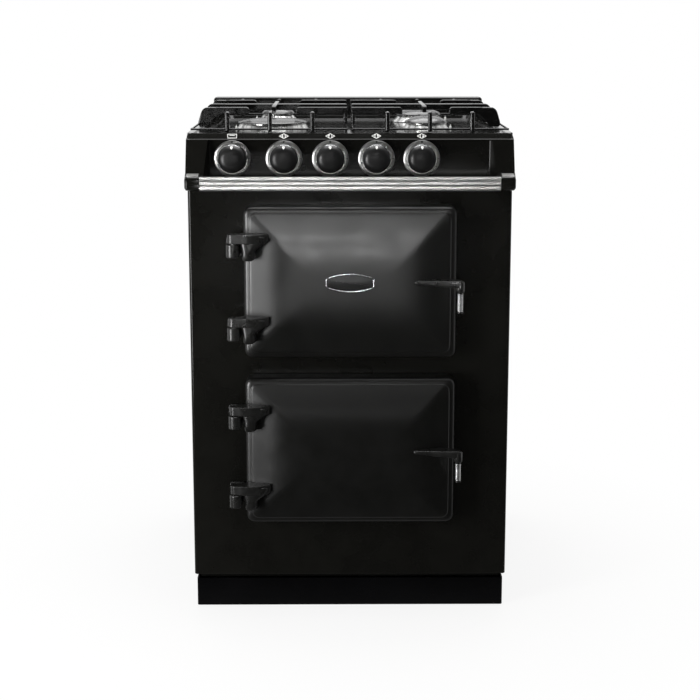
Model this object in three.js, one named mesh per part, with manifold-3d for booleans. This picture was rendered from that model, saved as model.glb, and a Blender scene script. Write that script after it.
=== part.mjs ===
// Cast iron range cooker, 60 cm wide: four gas burners over two side-hinged ovens.
// Millimetres, +Z up. Y is 0 on the body's front face and grows towards the back, so the doors are at
// negative Y. The exported group is moved so that its bounding box is centred over the origin.
import * as THREE from 'three';
import { mergeVertices } from 'three/addons/utils/BufferGeometryUtils.js';
import Module from 'manifold-3d';

const wasm = await Module();
wasm.setup();

// ---------------------------------------------------------------- clearances
const gap = 0.3; // between pieces that touch
const turnGap = 0.4; // round a pin or shaft that turns
const pushTravel = 3; // a gas knob pushed in before it turns
const doorSeal = 3; // between a door's back face and the body

// ---------------------------------------------------------------- body
const bodyWidth = 597;
const bodyDepth = 600;
const halfWidth = bodyWidth / 2;
const plinthHeight = 55;
const bodyFoot = 67;
const shelfLine = 832; // where the front casting ends and the fascia starts
const hobUnderside = 900;
const hobTop = 911.7;
const castingThickness = 12;
const panelThickness = 2;
const panelFlange = 22; // width of a side panel's turned-in edges, the sheet included
const backPanelInset = 20; // the back panel stands this far inside the side panels' rear edges
const frontCornerRadius = 6;
const plinthSetBack = 12; // from the body's front, and a little over it from the back
const plinthSideInset = 3.5;

// ---------------------------------------------------------------- ovens and doors
const ovenHalfWidth = 170;
const ovenDepth = 405;
const ovenWall = 3;
const ovenLip = 14; // flange round the oven mouth, behind the front casting
const doorOverlap = 21; // how far a door covers the casting above and below its mouth
const doorHalfWidth = ovenHalfWidth + 24.5;
const doorEdge = 44; // thickness of the door at its rim, without the crown
const doorCrown = 20; // rise from the rim to the flat middle
const doorSlope = 70; // width of the sloping facets
const doorCorner = 14;
const doorWall = 9;
const linerInset = 10; // liner to oven mouth
const ovens = [
  { name: 'upper', low: 522, high: 761, shelf: 600 },
  { name: 'lower', low: 205, high: 442, shelf: 290 },
];
const doorFace = doorEdge + doorCrown; // how far the flat middle stands ahead of the body
const ovenFront = castingThickness + gap;
const ovenBack = ovenFront + ovenDepth;
const shelfThickness = 5;
const shelfSupport = 8; // width of the runners
const woolThickness = 52;
const insulationBack = ovenBack + woolThickness;

// ---------------------------------------------------------------- fan and elements
const fanHeight = (ovens[1].low + ovens[1].high) / 2;
const fanWheelRadius = 72;
const fanSpace = 45; // depth behind the baffle
const baffleFront = ovenBack - fanSpace;
const baffleThickness = 2;
const motorRadius = 34;
const shaftRadius = 4;
const leadSpacing = 14; // half the distance between an element's two leads
const leadSlit = leadSpacing + 8; // half the opening for both leads in an oven's back
const leadWay = leadSpacing + 16; // half the way for them through the wool

// ---------------------------------------------------------------- hinges
const hinge = { x: -doorHalfWidth - 18, y: -doorFace - 1 };
const armFromTop = 47; // upper arm's top below the door's top
const armFromFoot = 81; // lower arm's top above the door's foot
const pinRadius = 5;
const barrelRadius = 9.5;
const armHeight = 17;
const lugHeight = 25;
const pinLength = 13;

// ---------------------------------------------------------------- handles
const handleRise = 4; // handle's centre above the door's centre
const gripX = doorHalfWidth + 4.5;
const gripY = -doorFace - 11;
const gripDrop = 17; // handle centre down to the top of the coil
const coil = { turns: 14, pitch: 2.3, wire: 0.85, radius: 4.6, stepsPerTurn: 8, sides: 5 };
const gripCore = 3.4;

// ---------------------------------------------------------------- fascia and knobs
const recessTop = 901.5;
const recessHalfWidth = halfWidth - 41.5;
const recessFlare = 9;
const fasciaFoot = -34; // how far the cheeks lean forward at their lower edge
const knobHeight = 866;
const knobs = [
  { name: 'oven', x: -214.7 },
  { name: 'front_left', x: -120.6 },
  { name: 'rear_left', x: -36 },
  { name: 'rear_right', x: 48.2 },
  { name: 'front_right', x: 130.8 },
];
const ringBack = pushTravel + 1.2; // fascia to the back of a dial ring
const ringRadius = 33.5;
const knobRadius = 25.5;
const knobReach = 30;
const spindleRadius = 4;
const spindleEnd = 30;
const plug = { radius: 8, front: castingThickness + 2, back: castingThickness + 28 };
const glandPlace = { x: -halfWidth + 88.5, z: 150 };
const inletPlace = { x: halfWidth - 36.5, z: knobHeight - 16 };

// ---------------------------------------------------------------- towel rail
const railFront = -60;
const railDepth = 15;
const railLow = 812;
const railHigh = 837;
const railHalfLength = halfWidth - 27.5;

// ---------------------------------------------------------------- hob
const wellFloor = 905;
const gridTop = 950;
const gridBar = 8;
const gridBarHeight = 13;
const burnerX = 147; // from the centre line
const burnerFrontY = 161;
const burnerRearY = 434;
const barSpacing = 78;
const gridLines = [burnerX - barSpacing, burnerX, burnerX + barSpacing]; // posts at the front and the rear
const gridCrossings = [burnerFrontY, 292, burnerRearY]; // bars that run left to right
const gridFront = 20;
const gridRear = burnerRearY + 60;
const gridOuter = halfWidth - 18.5;
const gridInner = 4;
const burnerClear = 45; // half the opening that the bars leave over a burner
const burners = [
  { name: 'front_left', x: -burnerX, y: burnerFrontY, cap: 67, base: 70.5, top: 925 },
  { name: 'rear_left', x: -burnerX, y: burnerRearY, cap: 35, base: 43.5, top: 930 },
  { name: 'rear_right', x: burnerX, y: burnerRearY, cap: 47.5, base: 55.5, top: 928 },
  { name: 'front_right', x: burnerX, y: burnerFrontY, cap: 41.5, base: 46, top: 929 },
];
const capThickness = 9;
const throatRadius = 20;
const throatFoot = 886;

// ---------------------------------------------------------------- finishes
const finishes = {
  enamel: { color: 0x141411, roughness: 0.16, metalness: 0 },
  matt: { color: 0x1b1b1a, roughness: 0.6, metalness: 0 },
  castIron: { color: 0x1d1c1b, roughness: 0.5, metalness: 0.4 },
  steel: { color: 0xa9a9a7, roughness: 0.35, metalness: 1 },
  chrome: { color: 0xd4d5d6, roughness: 0.08, metalness: 1 },
  aluminium: { color: 0xc4c5c6, roughness: 0.3, metalness: 1 },
  brass: { color: 0xb08d4f, roughness: 0.35, metalness: 1 },
  wool: { color: 0xb9ad8a, roughness: 1, metalness: 0 },
  plastic: { color: 0x181818, roughness: 0.4, metalness: 0 },
};

// ================================================================ helpers
function solid(geometry) {
  const bare = geometry.index ? geometry.toNonIndexed() : geometry.clone();
  bare.deleteAttribute('normal');
  bare.deleteAttribute('uv');
  const merged = mergeVertices(bare, 1e-4);
  const vertProperties = new Float32Array(merged.attributes.position.array);
  const triVerts = new Uint32Array(merged.index.array);
  return new wasm.Manifold(new wasm.Mesh({ numProp: 3, vertProperties, triVerts }));
}

function join(first, ...others) {
  return others.reduce((sum, other) => sum.add(other), first);
}

function cut(first, ...others) {
  return others.reduce((rest, other) => rest.subtract(other), first);
}

function geometryOf(body) {
  const { vertProperties, triVerts } = body.getMesh();
  const geometry = new THREE.BufferGeometry();
  geometry.setAttribute('position', new THREE.BufferAttribute(new Float32Array(vertProperties), 3));
  geometry.setIndex(new THREE.BufferAttribute(new Uint32Array(triVerts), 1));
  const flat = geometry.toNonIndexed();
  flat.computeVertexNormals();
  return flat;
}

// Adds a body to a group as a named mesh with a material of its own.
function addMesh(group, name, body, finish, x = 0, y = 0, z = 0) {
  const mesh = new THREE.Mesh(geometryOf(body), new THREE.MeshStandardMaterial(finishes[finish]));
  mesh.name = name;
  mesh.position.set(x, y, z);
  group.add(mesh);
  return mesh;
}

function box(x0, x1, y0, y1, z0, z1) {
  const geometry = new THREE.BoxGeometry(x1 - x0, y1 - y0, z1 - z0);
  geometry.translate((x0 + x1) / 2, (y0 + y1) / 2, (z0 + z1) / 2);
  return solid(geometry);
}

function outline(points) {
  return new THREE.Shape(points.map(([u, v]) => new THREE.Vector2(u, v)));
}

function roundedRect(u0, u1, v0, v1, radius) {
  const shape = new THREE.Shape();
  shape.moveTo(u0 + radius, v0);
  shape.lineTo(u1 - radius, v0);
  shape.absarc(u1 - radius, v0 + radius, radius, -Math.PI / 2, 0);
  shape.lineTo(u1, v1 - radius);
  shape.absarc(u1 - radius, v1 - radius, radius, 0, Math.PI / 2);
  shape.lineTo(u0 + radius, v1);
  shape.absarc(u0 + radius, v1 - radius, radius, Math.PI / 2, Math.PI);
  shape.lineTo(u0, v0 + radius);
  shape.absarc(u0 + radius, v0 + radius, radius, Math.PI, 1.5 * Math.PI);
  return shape;
}

function circle(u, v, radius) {
  const shape = new THREE.Shape();
  shape.absarc(u, v, radius, 0, 2 * Math.PI);
  return shape;
}

// Extrudes a shape between two places on an axis. A shape for x is drawn in (y, z), for y in (x, z) and
// for z in (x, y).
function prism(shape, axis, from, to, curveSegments = 3) {
  const depth = to - from;
  const geometry = new THREE.ExtrudeGeometry(shape, { depth, bevelEnabled: false, curveSegments });
  const turn = new THREE.Matrix4();
  if (axis === 'x') {
    turn.set(0, 0, 1, from, 1, 0, 0, 0, 0, 1, 0, 0, 0, 0, 0, 1);
  } else if (axis === 'y') {
    turn.set(1, 0, 0, 0, 0, 0, -1, to, 0, 1, 0, 0, 0, 0, 0, 1);
  } else {
    turn.makeTranslation(0, 0, from);
  }
  geometry.applyMatrix4(turn);
  return solid(geometry);
}

// Turns a profile of [radius, height] pairs that starts and ends on the axis, or closes on itself.
function turned(profile, axis, segments) {
  const points = profile.map(([radius, height]) => new THREE.Vector2(radius, height));
  const geometry = new THREE.LatheGeometry(points, segments);
  if (axis === 'z') {
    geometry.rotateX(Math.PI / 2);
  } else if (axis === '-y') {
    geometry.rotateX(Math.PI);
  }
  return solid(geometry);
}

function rod(radius, from, to, axis, segments = 12) {
  return turned([[0, from], [radius, from], [radius, to], [0, to]], axis, segments);
}

// A round tube along a path of points whose corners are eased, closed at both ends.
function tubeAlong(points, radius, cornerRadius, steps, sides) {
  const path = new THREE.CurvePath();
  const stops = points.map((p) => new THREE.Vector3(...p));
  let last = stops[0];
  for (let i = 1; i < stops.length - 1; i++) {
    const back = stops[i - 1].clone().sub(stops[i]).normalize().multiplyScalar(cornerRadius);
    const ahead = stops[i + 1].clone().sub(stops[i]).normalize().multiplyScalar(cornerRadius);
    const enter = stops[i].clone().add(back);
    const leave = stops[i].clone().add(ahead);
    path.add(new THREE.LineCurve3(last, enter));
    path.add(new THREE.QuadraticBezierCurve3(enter, stops[i], leave));
    last = leave;
  }
  path.add(new THREE.LineCurve3(last, stops[stops.length - 1]));
  return tube(path, radius, steps, sides);
}

function tube(path, radius, steps, sides) {
  const section = new THREE.Shape();
  for (let i = 0; i < sides; i++) {
    const angle = (2 * Math.PI * i) / sides;
    const method = i ? 'lineTo' : 'moveTo';
    section[method](radius * Math.cos(angle), radius * Math.sin(angle));
  }
  section.closePath();
  return solid(new THREE.ExtrudeGeometry(section, { steps, extrudePath: path, bevelEnabled: false }));
}

// Skins a closed body over rings of the same number of points, with a flat fan on each end.
function loft(rings) {
  const count = rings[0].length;
  const positions = rings.flat(2);
  const index = [];
  for (let r = 0; r < rings.length - 1; r++) {
    for (let i = 0; i < count; i++) {
      const a = r * count + i;
      const b = r * count + ((i + 1) % count);
      index.push(a, b, a + count, b, b + count, a + count);
    }
  }
  const top = (rings.length - 1) * count;
  for (let i = 1; i < count - 1; i++) {
    index.push(0, i + 1, i);
    index.push(top, top + i, top + i + 1);
  }
  const geometry = new THREE.BufferGeometry();
  geometry.setAttribute('position', new THREE.Float32BufferAttribute(positions, 3));
  geometry.setIndex(index);
  return solid(geometry);
}

// A rounded rectangle in the XZ plane at depth y, round the point (x, z), going from +X towards +Z.
function ring(x, z, halfX, halfZ, radius, y, perCorner = 4) {
  const points = [];
  const corners = [[1, 1, 0], [-1, 1, 1], [-1, -1, 2], [1, -1, 3]];
  for (const [sx, sz, quarter] of corners) {
    for (let i = 0; i < perCorner; i++) {
      const angle = ((quarter + i / (perCorner - 1)) * Math.PI) / 2;
      const px = x + sx * (halfX - radius) + radius * Math.cos(angle);
      const pz = z + sz * (halfZ - radius) + radius * Math.sin(angle);
      points.push([px, y, pz]);
    }
  }
  return points;
}

// ================================================================ carcass
function plinth() {
  const half = halfWidth - plinthSideInset;
  const front = plinthSetBack;
  const back = bodyDepth - plinthSetBack - 8;
  const sheet = panelThickness;
  const outer = box(-half, half, front, back, 0, plinthHeight);
  const inside = box(-half + sheet, half - sheet, front + sheet, back - sheet, sheet, plinthHeight + 1);
  return cut(outer, inside);
}

function baseFrame() {
  const low = plinthHeight + gap;
  const high = bodyFoot - gap;
  const half = halfWidth - plinthSideInset - 7;
  const front = plinthSetBack + 10;
  const back = bodyDepth - plinthSetBack - 16;
  const rim = 8;
  const outer = box(-half, half, front, back, low, high);
  return cut(outer, box(-half + rim, half - rim, front + rim, back - rim, low - 1, high - 3));
}

function frontCasting() {
  const radius = frontCornerRadius;
  const plan = new THREE.Shape();
  plan.moveTo(-halfWidth, castingThickness);
  plan.lineTo(-halfWidth, radius);
  plan.absarc(-halfWidth + radius, radius, radius, Math.PI, 1.5 * Math.PI);
  plan.lineTo(halfWidth - radius, 0);
  plan.absarc(halfWidth - radius, radius, radius, -Math.PI / 2, 0);
  plan.lineTo(halfWidth, castingThickness);
  const plate = prism(plan, 'z', bodyFoot, shelfLine - gap);
  const mouths = ovens.map(({ low, high }) => {
    const mouth = roundedRect(-ovenHalfWidth, ovenHalfWidth, low, high, 10);
    return prism(mouth, 'y', -1, castingThickness + 1);
  });
  return cut(plate, ...mouths);
}

// A sheet with its front and rear edges turned in.
function sidePanel(side) {
  const front = castingThickness + gap;
  const flangeBack = bodyDepth - backPanelInset - gap;
  const outer = halfWidth;
  const inner = halfWidth - panelThickness;
  const lip = halfWidth - panelFlange;
  const points = [
    [outer, front],
    [outer, bodyDepth],
    [inner, bodyDepth],
    [inner, flangeBack],
    [lip, flangeBack],
    [lip, flangeBack - panelThickness],
    [inner, flangeBack - panelThickness],
    [inner, front + panelThickness],
    [lip, front + panelThickness],
    [lip, front],
  ];
  const plan = outline(points.map(([x, y]) => [side * x, y]));
  return prism(plan, 'z', bodyFoot, hobUnderside - gap);
}

function backPanel() {
  const inner = halfWidth - panelThickness - gap;
  const front = bodyDepth - backPanelInset;
  const sheet = box(-inner, inner, front, front + panelThickness, bodyFoot, hobUnderside - gap);
  const cuts = [
    prism(circle(glandPlace.x, glandPlace.z, 9), 'y', front - 5, front + 10, 7),
    prism(circle(inletPlace.x, inletPlace.z, 14), 'y', front - 5, front + 10, 6),
  ];
  for (const z of [560, 800]) {
    for (let i = -3; i <= 3; i++) {
      cuts.push(box(i * 60 - 20, i * 60 + 20, front - 5, front + 10, z, z + 8));
    }
  }
  return cut(sheet, ...cuts);
}

// The strain relief of the electric lead, fixed through the back panel.
function cableGland() {
  const front = bodyDepth - backPanelInset;
  const back = front + panelThickness + gap;
  const profile = [
    [4, front - 8],
    [8, front - 8],
    [8, back],
    [13, back],
    [13, back + 5],
    [9, back + 8],
    [7, back + 15],
    [4, back + 15],
    [4, front - 8],
  ];
  return turned(profile, 'y', 10);
}

// Mineral wool round both ovens, open at the front, with ways through for the fan motor and the leads.
function insulation() {
  const front = castingThickness + ovenWall + 2 * gap;
  const side = ovenHalfWidth + ovenWall + woolThickness;
  const block = box(-side, side, front, insulationBack, ovens[1].low - 45, ovens[0].high + 51);
  const clear = ovenHalfWidth + ovenWall + gap;
  const lipClear = ovenHalfWidth + ovenLip + gap;
  const pockets = [];
  for (const { low, high } of ovens) {
    const wall = ovenWall + gap;
    const rear = ovenBack + ovenWall + gap;
    pockets.push(box(-clear, clear, front - 1, rear, low - wall, high + wall));
    const lip = ovenLip + gap;
    pockets.push(box(-lipClear, lipClear, front - 1, front + ovenWall - 1, low - lip, high + lip));
    pockets.push(box(-leadWay, leadWay, ovenBack, insulationBack + 1, high - 30, high - 8));
  }
  pockets.push(prism(circle(0, fanHeight, motorRadius + 7), 'y', ovenBack, insulationBack + 1, 6));
  return cut(block, ...pockets);
}

// ================================================================ ovens
// A welded box, open at the front, with two pairs of shelf runners. The lower one has the fan's baffle.
function ovenBox({ low, high, shelf, name }) {
  const front = ovenFront;
  const back = ovenBack;
  const half = ovenHalfWidth;
  const wide = half + ovenWall;
  const outer = box(-wide, wide, front, back + ovenWall, low - ovenWall, high + ovenWall);
  const lip = box(-half - ovenLip, half + ovenLip, front, front + ovenWall, low - ovenLip, high + ovenLip);
  const shell = cut(join(outer, lip), box(-half, half, front - 1, back, low, high));
  const extras = [];
  for (const z of [shelf - 4, shelf + 74]) {
    const inner = half - shelfSupport;
    extras.push(box(inner, half + 1, front + 20, baffleFront - 10, z, z + 3));
    extras.push(box(-half - 1, -inner, front + 20, baffleFront - 10, z, z + 3));
  }
  if (name === 'upper') {
    const leadHole = box(-leadSlit, leadSlit, back - 1, back + 10, high - 22, high - 12);
    return cut(join(shell, ...extras), leadHole);
  }
  const baffle = new THREE.Shape();
  baffle.setFromPoints(roundedRect(-half - 1, half + 1, low - 1, high + 1, 1).getPoints(1));
  baffle.holes.push(circle(0, fanHeight, fanWheelRadius - 20));
  for (const x of [-half + 20, half - 20]) {
    baffle.holes.push(roundedRect(x - 9, x + 9, low + 20, high - 20, 8));
  }
  const screen = prism(baffle, 'y', baffleFront, baffleFront + baffleThickness, 4);
  const shaftHole = rod(9, back - 1, back + 10, 'y').translate([0, 0, fanHeight]);
  const leadHole = box(-leadSlit, leadSlit, back - 1, back + 10, high - 26, high - 16);
  return cut(join(shell, screen, ...extras), shaftHole, leadHole);
}

// A wire shelf: a frame with bars across it.
function ovenShelf() {
  const half = ovenHalfWidth - 1.5;
  const front = ovenFront + 21.7;
  const back = baffleFront - 14;
  const wire = shelfThickness;
  const frame = cut(
    box(-half, half, front, back, 0, wire),
    box(-half + wire, half - wire, front + wire, back - wire, -1, wire + 1),
  );
  const bars = [];
  const count = 11;
  for (let i = 1; i <= count; i++) {
    const x = -half + (2 * half * i) / (count + 1);
    bars.push(box(x - 1.7, x + 1.7, front + 1, back - 1, 1, wire - 0.6));
  }
  return join(frame, ...bars);
}

function grillElement() {
  const rear = ovenBack + ovenWall + 9;
  const wide = ovenHalfWidth - 32;
  const front = 70;
  const back = ovenBack - 45;
  const bend = back - 42;
  const path = [
    [-leadSpacing, rear, 0],
    [-leadSpacing, back, 0],
    [-wide, back, 0],
    [-wide, front, 0],
    [-48, front, 0],
    [-48, bend, 0],
    [48, bend, 0],
    [48, front, 0],
    [wide, front, 0],
    [wide, back, 0],
    [leadSpacing, back, 0],
    [leadSpacing, rear, 0],
  ];
  return tubeAlong(path, 3.4, 16, 42, 6);
}

function ringElement() {
  const rear = ovenBack + ovenWall + 9;
  const points = [];
  const radius = fanWheelRadius + 14;
  const y = baffleFront + 24;
  const leadHeight = ovens[1].high - 21 - fanHeight;
  points.push([-leadSpacing, rear, leadHeight], [-leadSpacing, y, leadHeight]);
  for (let i = 0; i <= 12; i++) {
    const angle = Math.PI / 2 + 0.3 + ((2 * Math.PI - 0.6) * i) / 12;
    points.push([radius * Math.cos(angle), y, radius * Math.sin(angle)]);
  }
  points.push([leadSpacing, y, leadHeight], [leadSpacing, rear, leadHeight]);
  return tubeAlong(points, 3.2, 6, 40, 6);
}

function fanWheel() {
  const front = baffleFront + 8;
  const disc = rod(fanWheelRadius, front + 18, front + 20, 'y', 24);
  const shaft = rod(shaftRadius, front + 10, ovenBack + ovenWall + 11, 'y', 10);
  const hub = rod(11, front + 8, front + 21, 'y', 12);
  const blades = [];
  for (let i = 0; i < 8; i++) {
    const blade = box(30, fanWheelRadius - 2, -0.8, 0.8, 0, 18).rotate([90, 0, 0]);
    blades.push(blade.translate([0, front + 19, 0]).rotate([0, 45 * i, 0]));
  }
  return join(disc, shaft, hub, ...blades);
}

function fanMotor() {
  const front = ovenBack + ovenWall + gap;
  const body = rod(motorRadius, front + 14, front + 62, 'y', 16);
  const flange = box(-motorRadius - 2, motorRadius + 2, front, front + 15, -12, 12);
  const bore = rod(shaftRadius + turnGap, front - 1, front + 30, 'y', 12);
  return cut(join(body, flange), bore);
}

// ================================================================ doors
// The door's outer form: a rounded slab with a crowned front. Grow enlarges it all round.
function doorForm(z, halfHeight, grow) {
  const layers = [
    [0, doorSeal - grow],
    [0, doorEdge - 9],
    [2, doorEdge - 3.5],
    [8, doorEdge],
    [doorSlope - 5, doorFace - 3],
    [doorSlope + 10, doorFace],
  ];
  const rings = layers.map(([inset, out], i) => {
    const radius = Math.max(doorCorner - inset, 3);
    const y = i ? -out - grow : -out;
    return ring(0, z, doorHalfWidth - inset + grow, halfHeight - inset + grow, radius + grow, y);
  });
  return loft(rings);
}

// One cranked arm of the door with its barrel, drawn in plan, and the lobe under it.
function doorArm(top) {
  const { x, y } = hinge;
  const plan = new THREE.Shape();
  plan.absarc(x, y, barrelRadius, Math.PI / 2, 1.5 * Math.PI);
  plan.lineTo(x + 18, y - barrelRadius - 3.5);
  plan.lineTo(x + 45, y - 8);
  plan.lineTo(x + 64, y + 2);
  plan.lineTo(x + 64, y + 9);
  plan.lineTo(x + 29, y + 23);
  plan.lineTo(x + 18, y + 20);
  plan.lineTo(x + 10, y + barrelRadius);
  const arm = prism(plan, 'z', top - armHeight, top, 6);
  const bore = rod(pinRadius + turnGap, top - armHeight - 1, top - armHeight + pinLength + 1, 'z', 16);
  const side = [];
  side.push([x + 15, y + 4], [x + 17, y - 6], [x + 28, y - 9], [x + 40, y - 5], [x + 40, y + 20]);
  side.push([x + 20, y + 20]);
  const lobe = prism(outline(side), 'z', top - 50, top - 2);
  return cut(join(arm, lobe), bore.translate([x, y, 0]));
}

function armTops({ low, high }) {
  return [high + doorOverlap - armFromTop, low - doorOverlap + armFromFoot];
}

function door(oven) {
  const { low, high } = oven;
  const z = (low + high) / 2;
  const halfHeight = (high - low) / 2 + doorOverlap;
  const inset = doorOverlap + linerInset - gap;
  const inner = [
    ring(0, z, ovenHalfWidth - linerInset + 0.5, halfHeight - inset, 8, -doorSeal + 1),
    ring(0, z, ovenHalfWidth - linerInset + 0.5, halfHeight - inset, 8, -doorEdge + doorWall - 2),
    ring(0, z, doorHalfWidth - doorSlope, halfHeight - doorSlope, 3, -doorFace + doorWall + 4),
  ];
  const shell = cut(doorForm(z, halfHeight, 0), loft(inner));
  return join(shell, ...armTops(oven).map(doorArm));
}

// The pressed steel tray on a door's back, which stands in the oven mouth and is open to the door's inside.
function doorLiner({ low, high }) {
  const z = (low + high) / 2;
  const halfHeight = (high - low) / 2 - linerInset;
  const halfX = ovenHalfWidth - linerInset;
  const back = castingThickness - 1;
  const front = -doorEdge + doorWall;
  const sheet = 1.5;
  const tray = loft([ring(0, z, halfX, halfHeight, 7, back), ring(0, z, halfX, halfHeight, 7, front)]);
  const inside = box(-halfX + sheet, halfX - sheet, front - 1, back - sheet, z - halfHeight + sheet,
    z + halfHeight - sheet);
  return cut(tray, inside);
}

// A pintle: a lug on the body's face with an upright pin that the door's barrel drops over.
function hingeBracket() {
  const top = -armHeight - 2 * gap;
  const { x, y } = hinge;
  const foot = 15.5; // half width on the body's face
  const corners = [[-foot, -gap], [-foot, -7], [-12, -11], [-12, y], [12, y], [12, -11], [foot, -7], [foot, -gap]];
  const plan = outline(corners.map(([across, out]) => [x + across, out]));
  const lug = prism(plan, 'z', top - lugHeight, top);
  const round = rod(12, top - lugHeight, top, 'z', 20).translate([x, y, 0]);
  const pin = rod(pinRadius, top - 1, top + pinLength, 'z', 16).translate([x, y, 0]);
  const plate = box(x - foot, x + foot, -7, -gap, top - lugHeight - 6, top + 6);
  return join(lug, round, pin, plate);
}

// A cast bar on the door's face. Its boss beyond the door's edge carries the grip's core.
function doorHandle(form, height) {
  const corners = [[-81, 15], [-81, 6], [-49, 0], [-14, -7], [0, -8], [8, 0], [0, 8], [-9, 17], [-29, 25]];
  corners.push([-49, 25]);
  const plan = outline(corners.map(([along, out]) => [gripX + along, gripY + out]));
  const edges = [[-89, -3.5], [-39, -5], [10, -9], [10, 6.5], [-39, 5], [-89, 3.5]];
  const taper = outline(edges.map(([along, up]) => [gripX + along, up]));
  const bar = prism(plan, 'z', -10, 8).intersect(prism(taper, 'y', gripY - 25, 0));
  const coilHeight = coil.turns * coil.pitch + 2 * coil.wire;
  const core = rod(gripCore, -gripDrop - coilHeight - 2, 0, 'z', 10);
  const boss = rod(8, -gripDrop + 0.5, 6.5, 'z', 18);
  const button = rod(5.5, -gripDrop - coilHeight - 3.5, -gripDrop - coilHeight - 0.5, 'z', 14);
  const grip = join(core, boss, button).translate([gripX, gripY, 0]);
  return cut(join(bar, grip).translate([0, 0, height]), form);
}

// A close-wound spring round the grip's core, as one unbroken tube. Its least gap is measured below.
function gripCoil() {
  const steps = coil.turns * coil.stepsPerTurn;
  const rings = [];
  const slope = coil.pitch / (2 * Math.PI * coil.radius);
  for (let i = 0; i <= steps; i++) {
    const angle = (2 * Math.PI * i) / coil.stepsPerTurn;
    const out = new THREE.Vector3(Math.cos(angle), Math.sin(angle), 0);
    const along = new THREE.Vector3(-Math.sin(angle), Math.cos(angle), slope).normalize();
    const up = new THREE.Vector3().crossVectors(out, along);
    const centre = out.clone().multiplyScalar(coil.radius);
    centre.z = coil.wire + (coil.pitch * i) / coil.stepsPerTurn;
    const points = [];
    for (let s = 0; s < coil.sides; s++) {
      const turn = (2 * Math.PI * s) / coil.sides;
      const point = centre.clone().addScaledVector(out, coil.wire * Math.cos(turn));
      point.addScaledVector(up, -coil.wire * Math.sin(turn));
      points.push(point.toArray());
    }
    rings.push(points);
  }
  let least = Infinity;
  for (let i = 0; i <= steps - coil.stepsPerTurn; i++) {
    for (let j = i + coil.stepsPerTurn - 1; j <= Math.min(i + coil.stepsPerTurn + 1, steps); j++) {
      for (const a of rings[i]) {
        for (const b of rings[j]) {
          least = Math.min(least, Math.hypot(a[0] - b[0], a[1] - b[1], a[2] - b[2]));
        }
      }
    }
  }
  console.log('grip coil: least gap between turns ' + least.toFixed(2) + ' mm');
  return loft(rings);
}

// ================================================================ fascia, rail and controls
function fascia() {
  const back = castingThickness - gap;
  const cheek = outline([
    [back, shelfLine],
    [fasciaFoot, shelfLine],
    [fasciaFoot, shelfLine + 6],
    [-2, 902],
    [2, 909],
    [7, hobTop],
    [back, hobTop],
  ]);
  const block = prism(cheek, 'x', -halfWidth, halfWidth);
  const mid = (shelfLine - 20 + recessTop) / 2;
  const half = (recessTop - shelfLine + 20) / 2;
  const wide = recessHalfWidth + recessFlare * 1.2;
  const recess = loft([
    ring(0, mid, recessHalfWidth, half, 3, 0),
    ring(0, mid + 1.5, wide, half + 3, 3, -42),
  ]);
  const hollow = box(-recessHalfWidth, recessHalfWidth, 6, 20, shelfLine + 6, hobUnderside - 6);
  const holes = knobs.map(({ x }) => {
    return rod(spindleRadius + 3, -5, 20, 'y', 14).translate([x, 0, knobHeight]);
  });
  return cut(block, recess, hollow, ...holes);
}

// A ribbed bar with three bands along its front.
function towelRail() {
  const back = railFront + railDepth;
  const section = outline([
    [back, railLow + 2],
    [back - 2, railLow],
    [railFront + 3, railLow],
    [railFront + 1, railLow + 1.5],
    [railFront, railLow + 4],
    [railFront, railLow + 7],
    [railFront + 1.6, railLow + 8],
    [railFront + 1.6, railLow + 9.5],
    [railFront, railLow + 10.5],
    [railFront, railLow + 15],
    [railFront + 1.6, railLow + 16],
    [railFront + 1.6, railLow + 17.5],
    [railFront, railLow + 18.5],
    [railFront + 0.6, railLow + 21.5],
    [railFront + 3.5, railHigh],
    [back - 2, railHigh],
    [back, railHigh - 2],
  ]);
  return prism(section, 'x', -railHalfLength, railHalfLength);
}

// The end bracket that holds the rail clear of the body.
function railBracket(side) {
  const inner = railHalfLength + gap;
  const top = shelfLine - gap;
  const section = outline([
    [-gap, railLow],
    [railFront, railLow],
    [railFront, railHigh],
    [fasciaFoot - 1, railHigh + 5],
    [fasciaFoot - 1, top],
    [-gap, top],
  ]);
  const plan = outline([
    [side * inner, 0],
    [side * inner, railFront],
    [side * (halfWidth - 5), railFront],
    [side * halfWidth, railFront + 7],
    [side * halfWidth, railFront + 30],
    [side * (halfWidth - 2), 0],
  ]);
  const body = prism(section, 'x', side > 0 ? inner : -halfWidth, side > 0 ? halfWidth : -inner);
  return body.intersect(prism(plan, 'z', railLow - 1, railHigh + 10));
}

// The knob with its spindle: a soft dome with a flat back that sits on the dial ring.
function knobBody() {
  const seat = ringBack + 2 + gap;
  const profile = [
    [0, -spindleEnd],
    [spindleRadius, -spindleEnd],
    [spindleRadius, seat],
    [knobRadius - 1.5, seat],
    [knobRadius, seat + 1.5],
    [knobRadius, seat + 14],
    [knobRadius - 2, seat + 18.5],
    [knobRadius - 7, knobReach - 1.6],
    [knobRadius - 15, knobReach - 0.3],
    [0, knobReach],
  ];
  return turned(profile, '-y', 20);
}

// The steel skirt that turns with the knob and carries the dial marks on its rim.
function dialRing() {
  const rim = knobRadius + 1.2;
  const profile = [
    [spindleRadius + gap, ringBack],
    [ringRadius - 1.5, ringBack],
    [ringRadius, ringBack + 1.5],
    [ringRadius - 1, ringBack + 4.5],
    [rim, ringBack + 5.5],
    [rim, ringBack + 2],
    [spindleRadius + gap, ringBack + 2],
    [spindleRadius + gap, ringBack],
  ];
  return turned(profile, '-y', 22);
}

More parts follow.
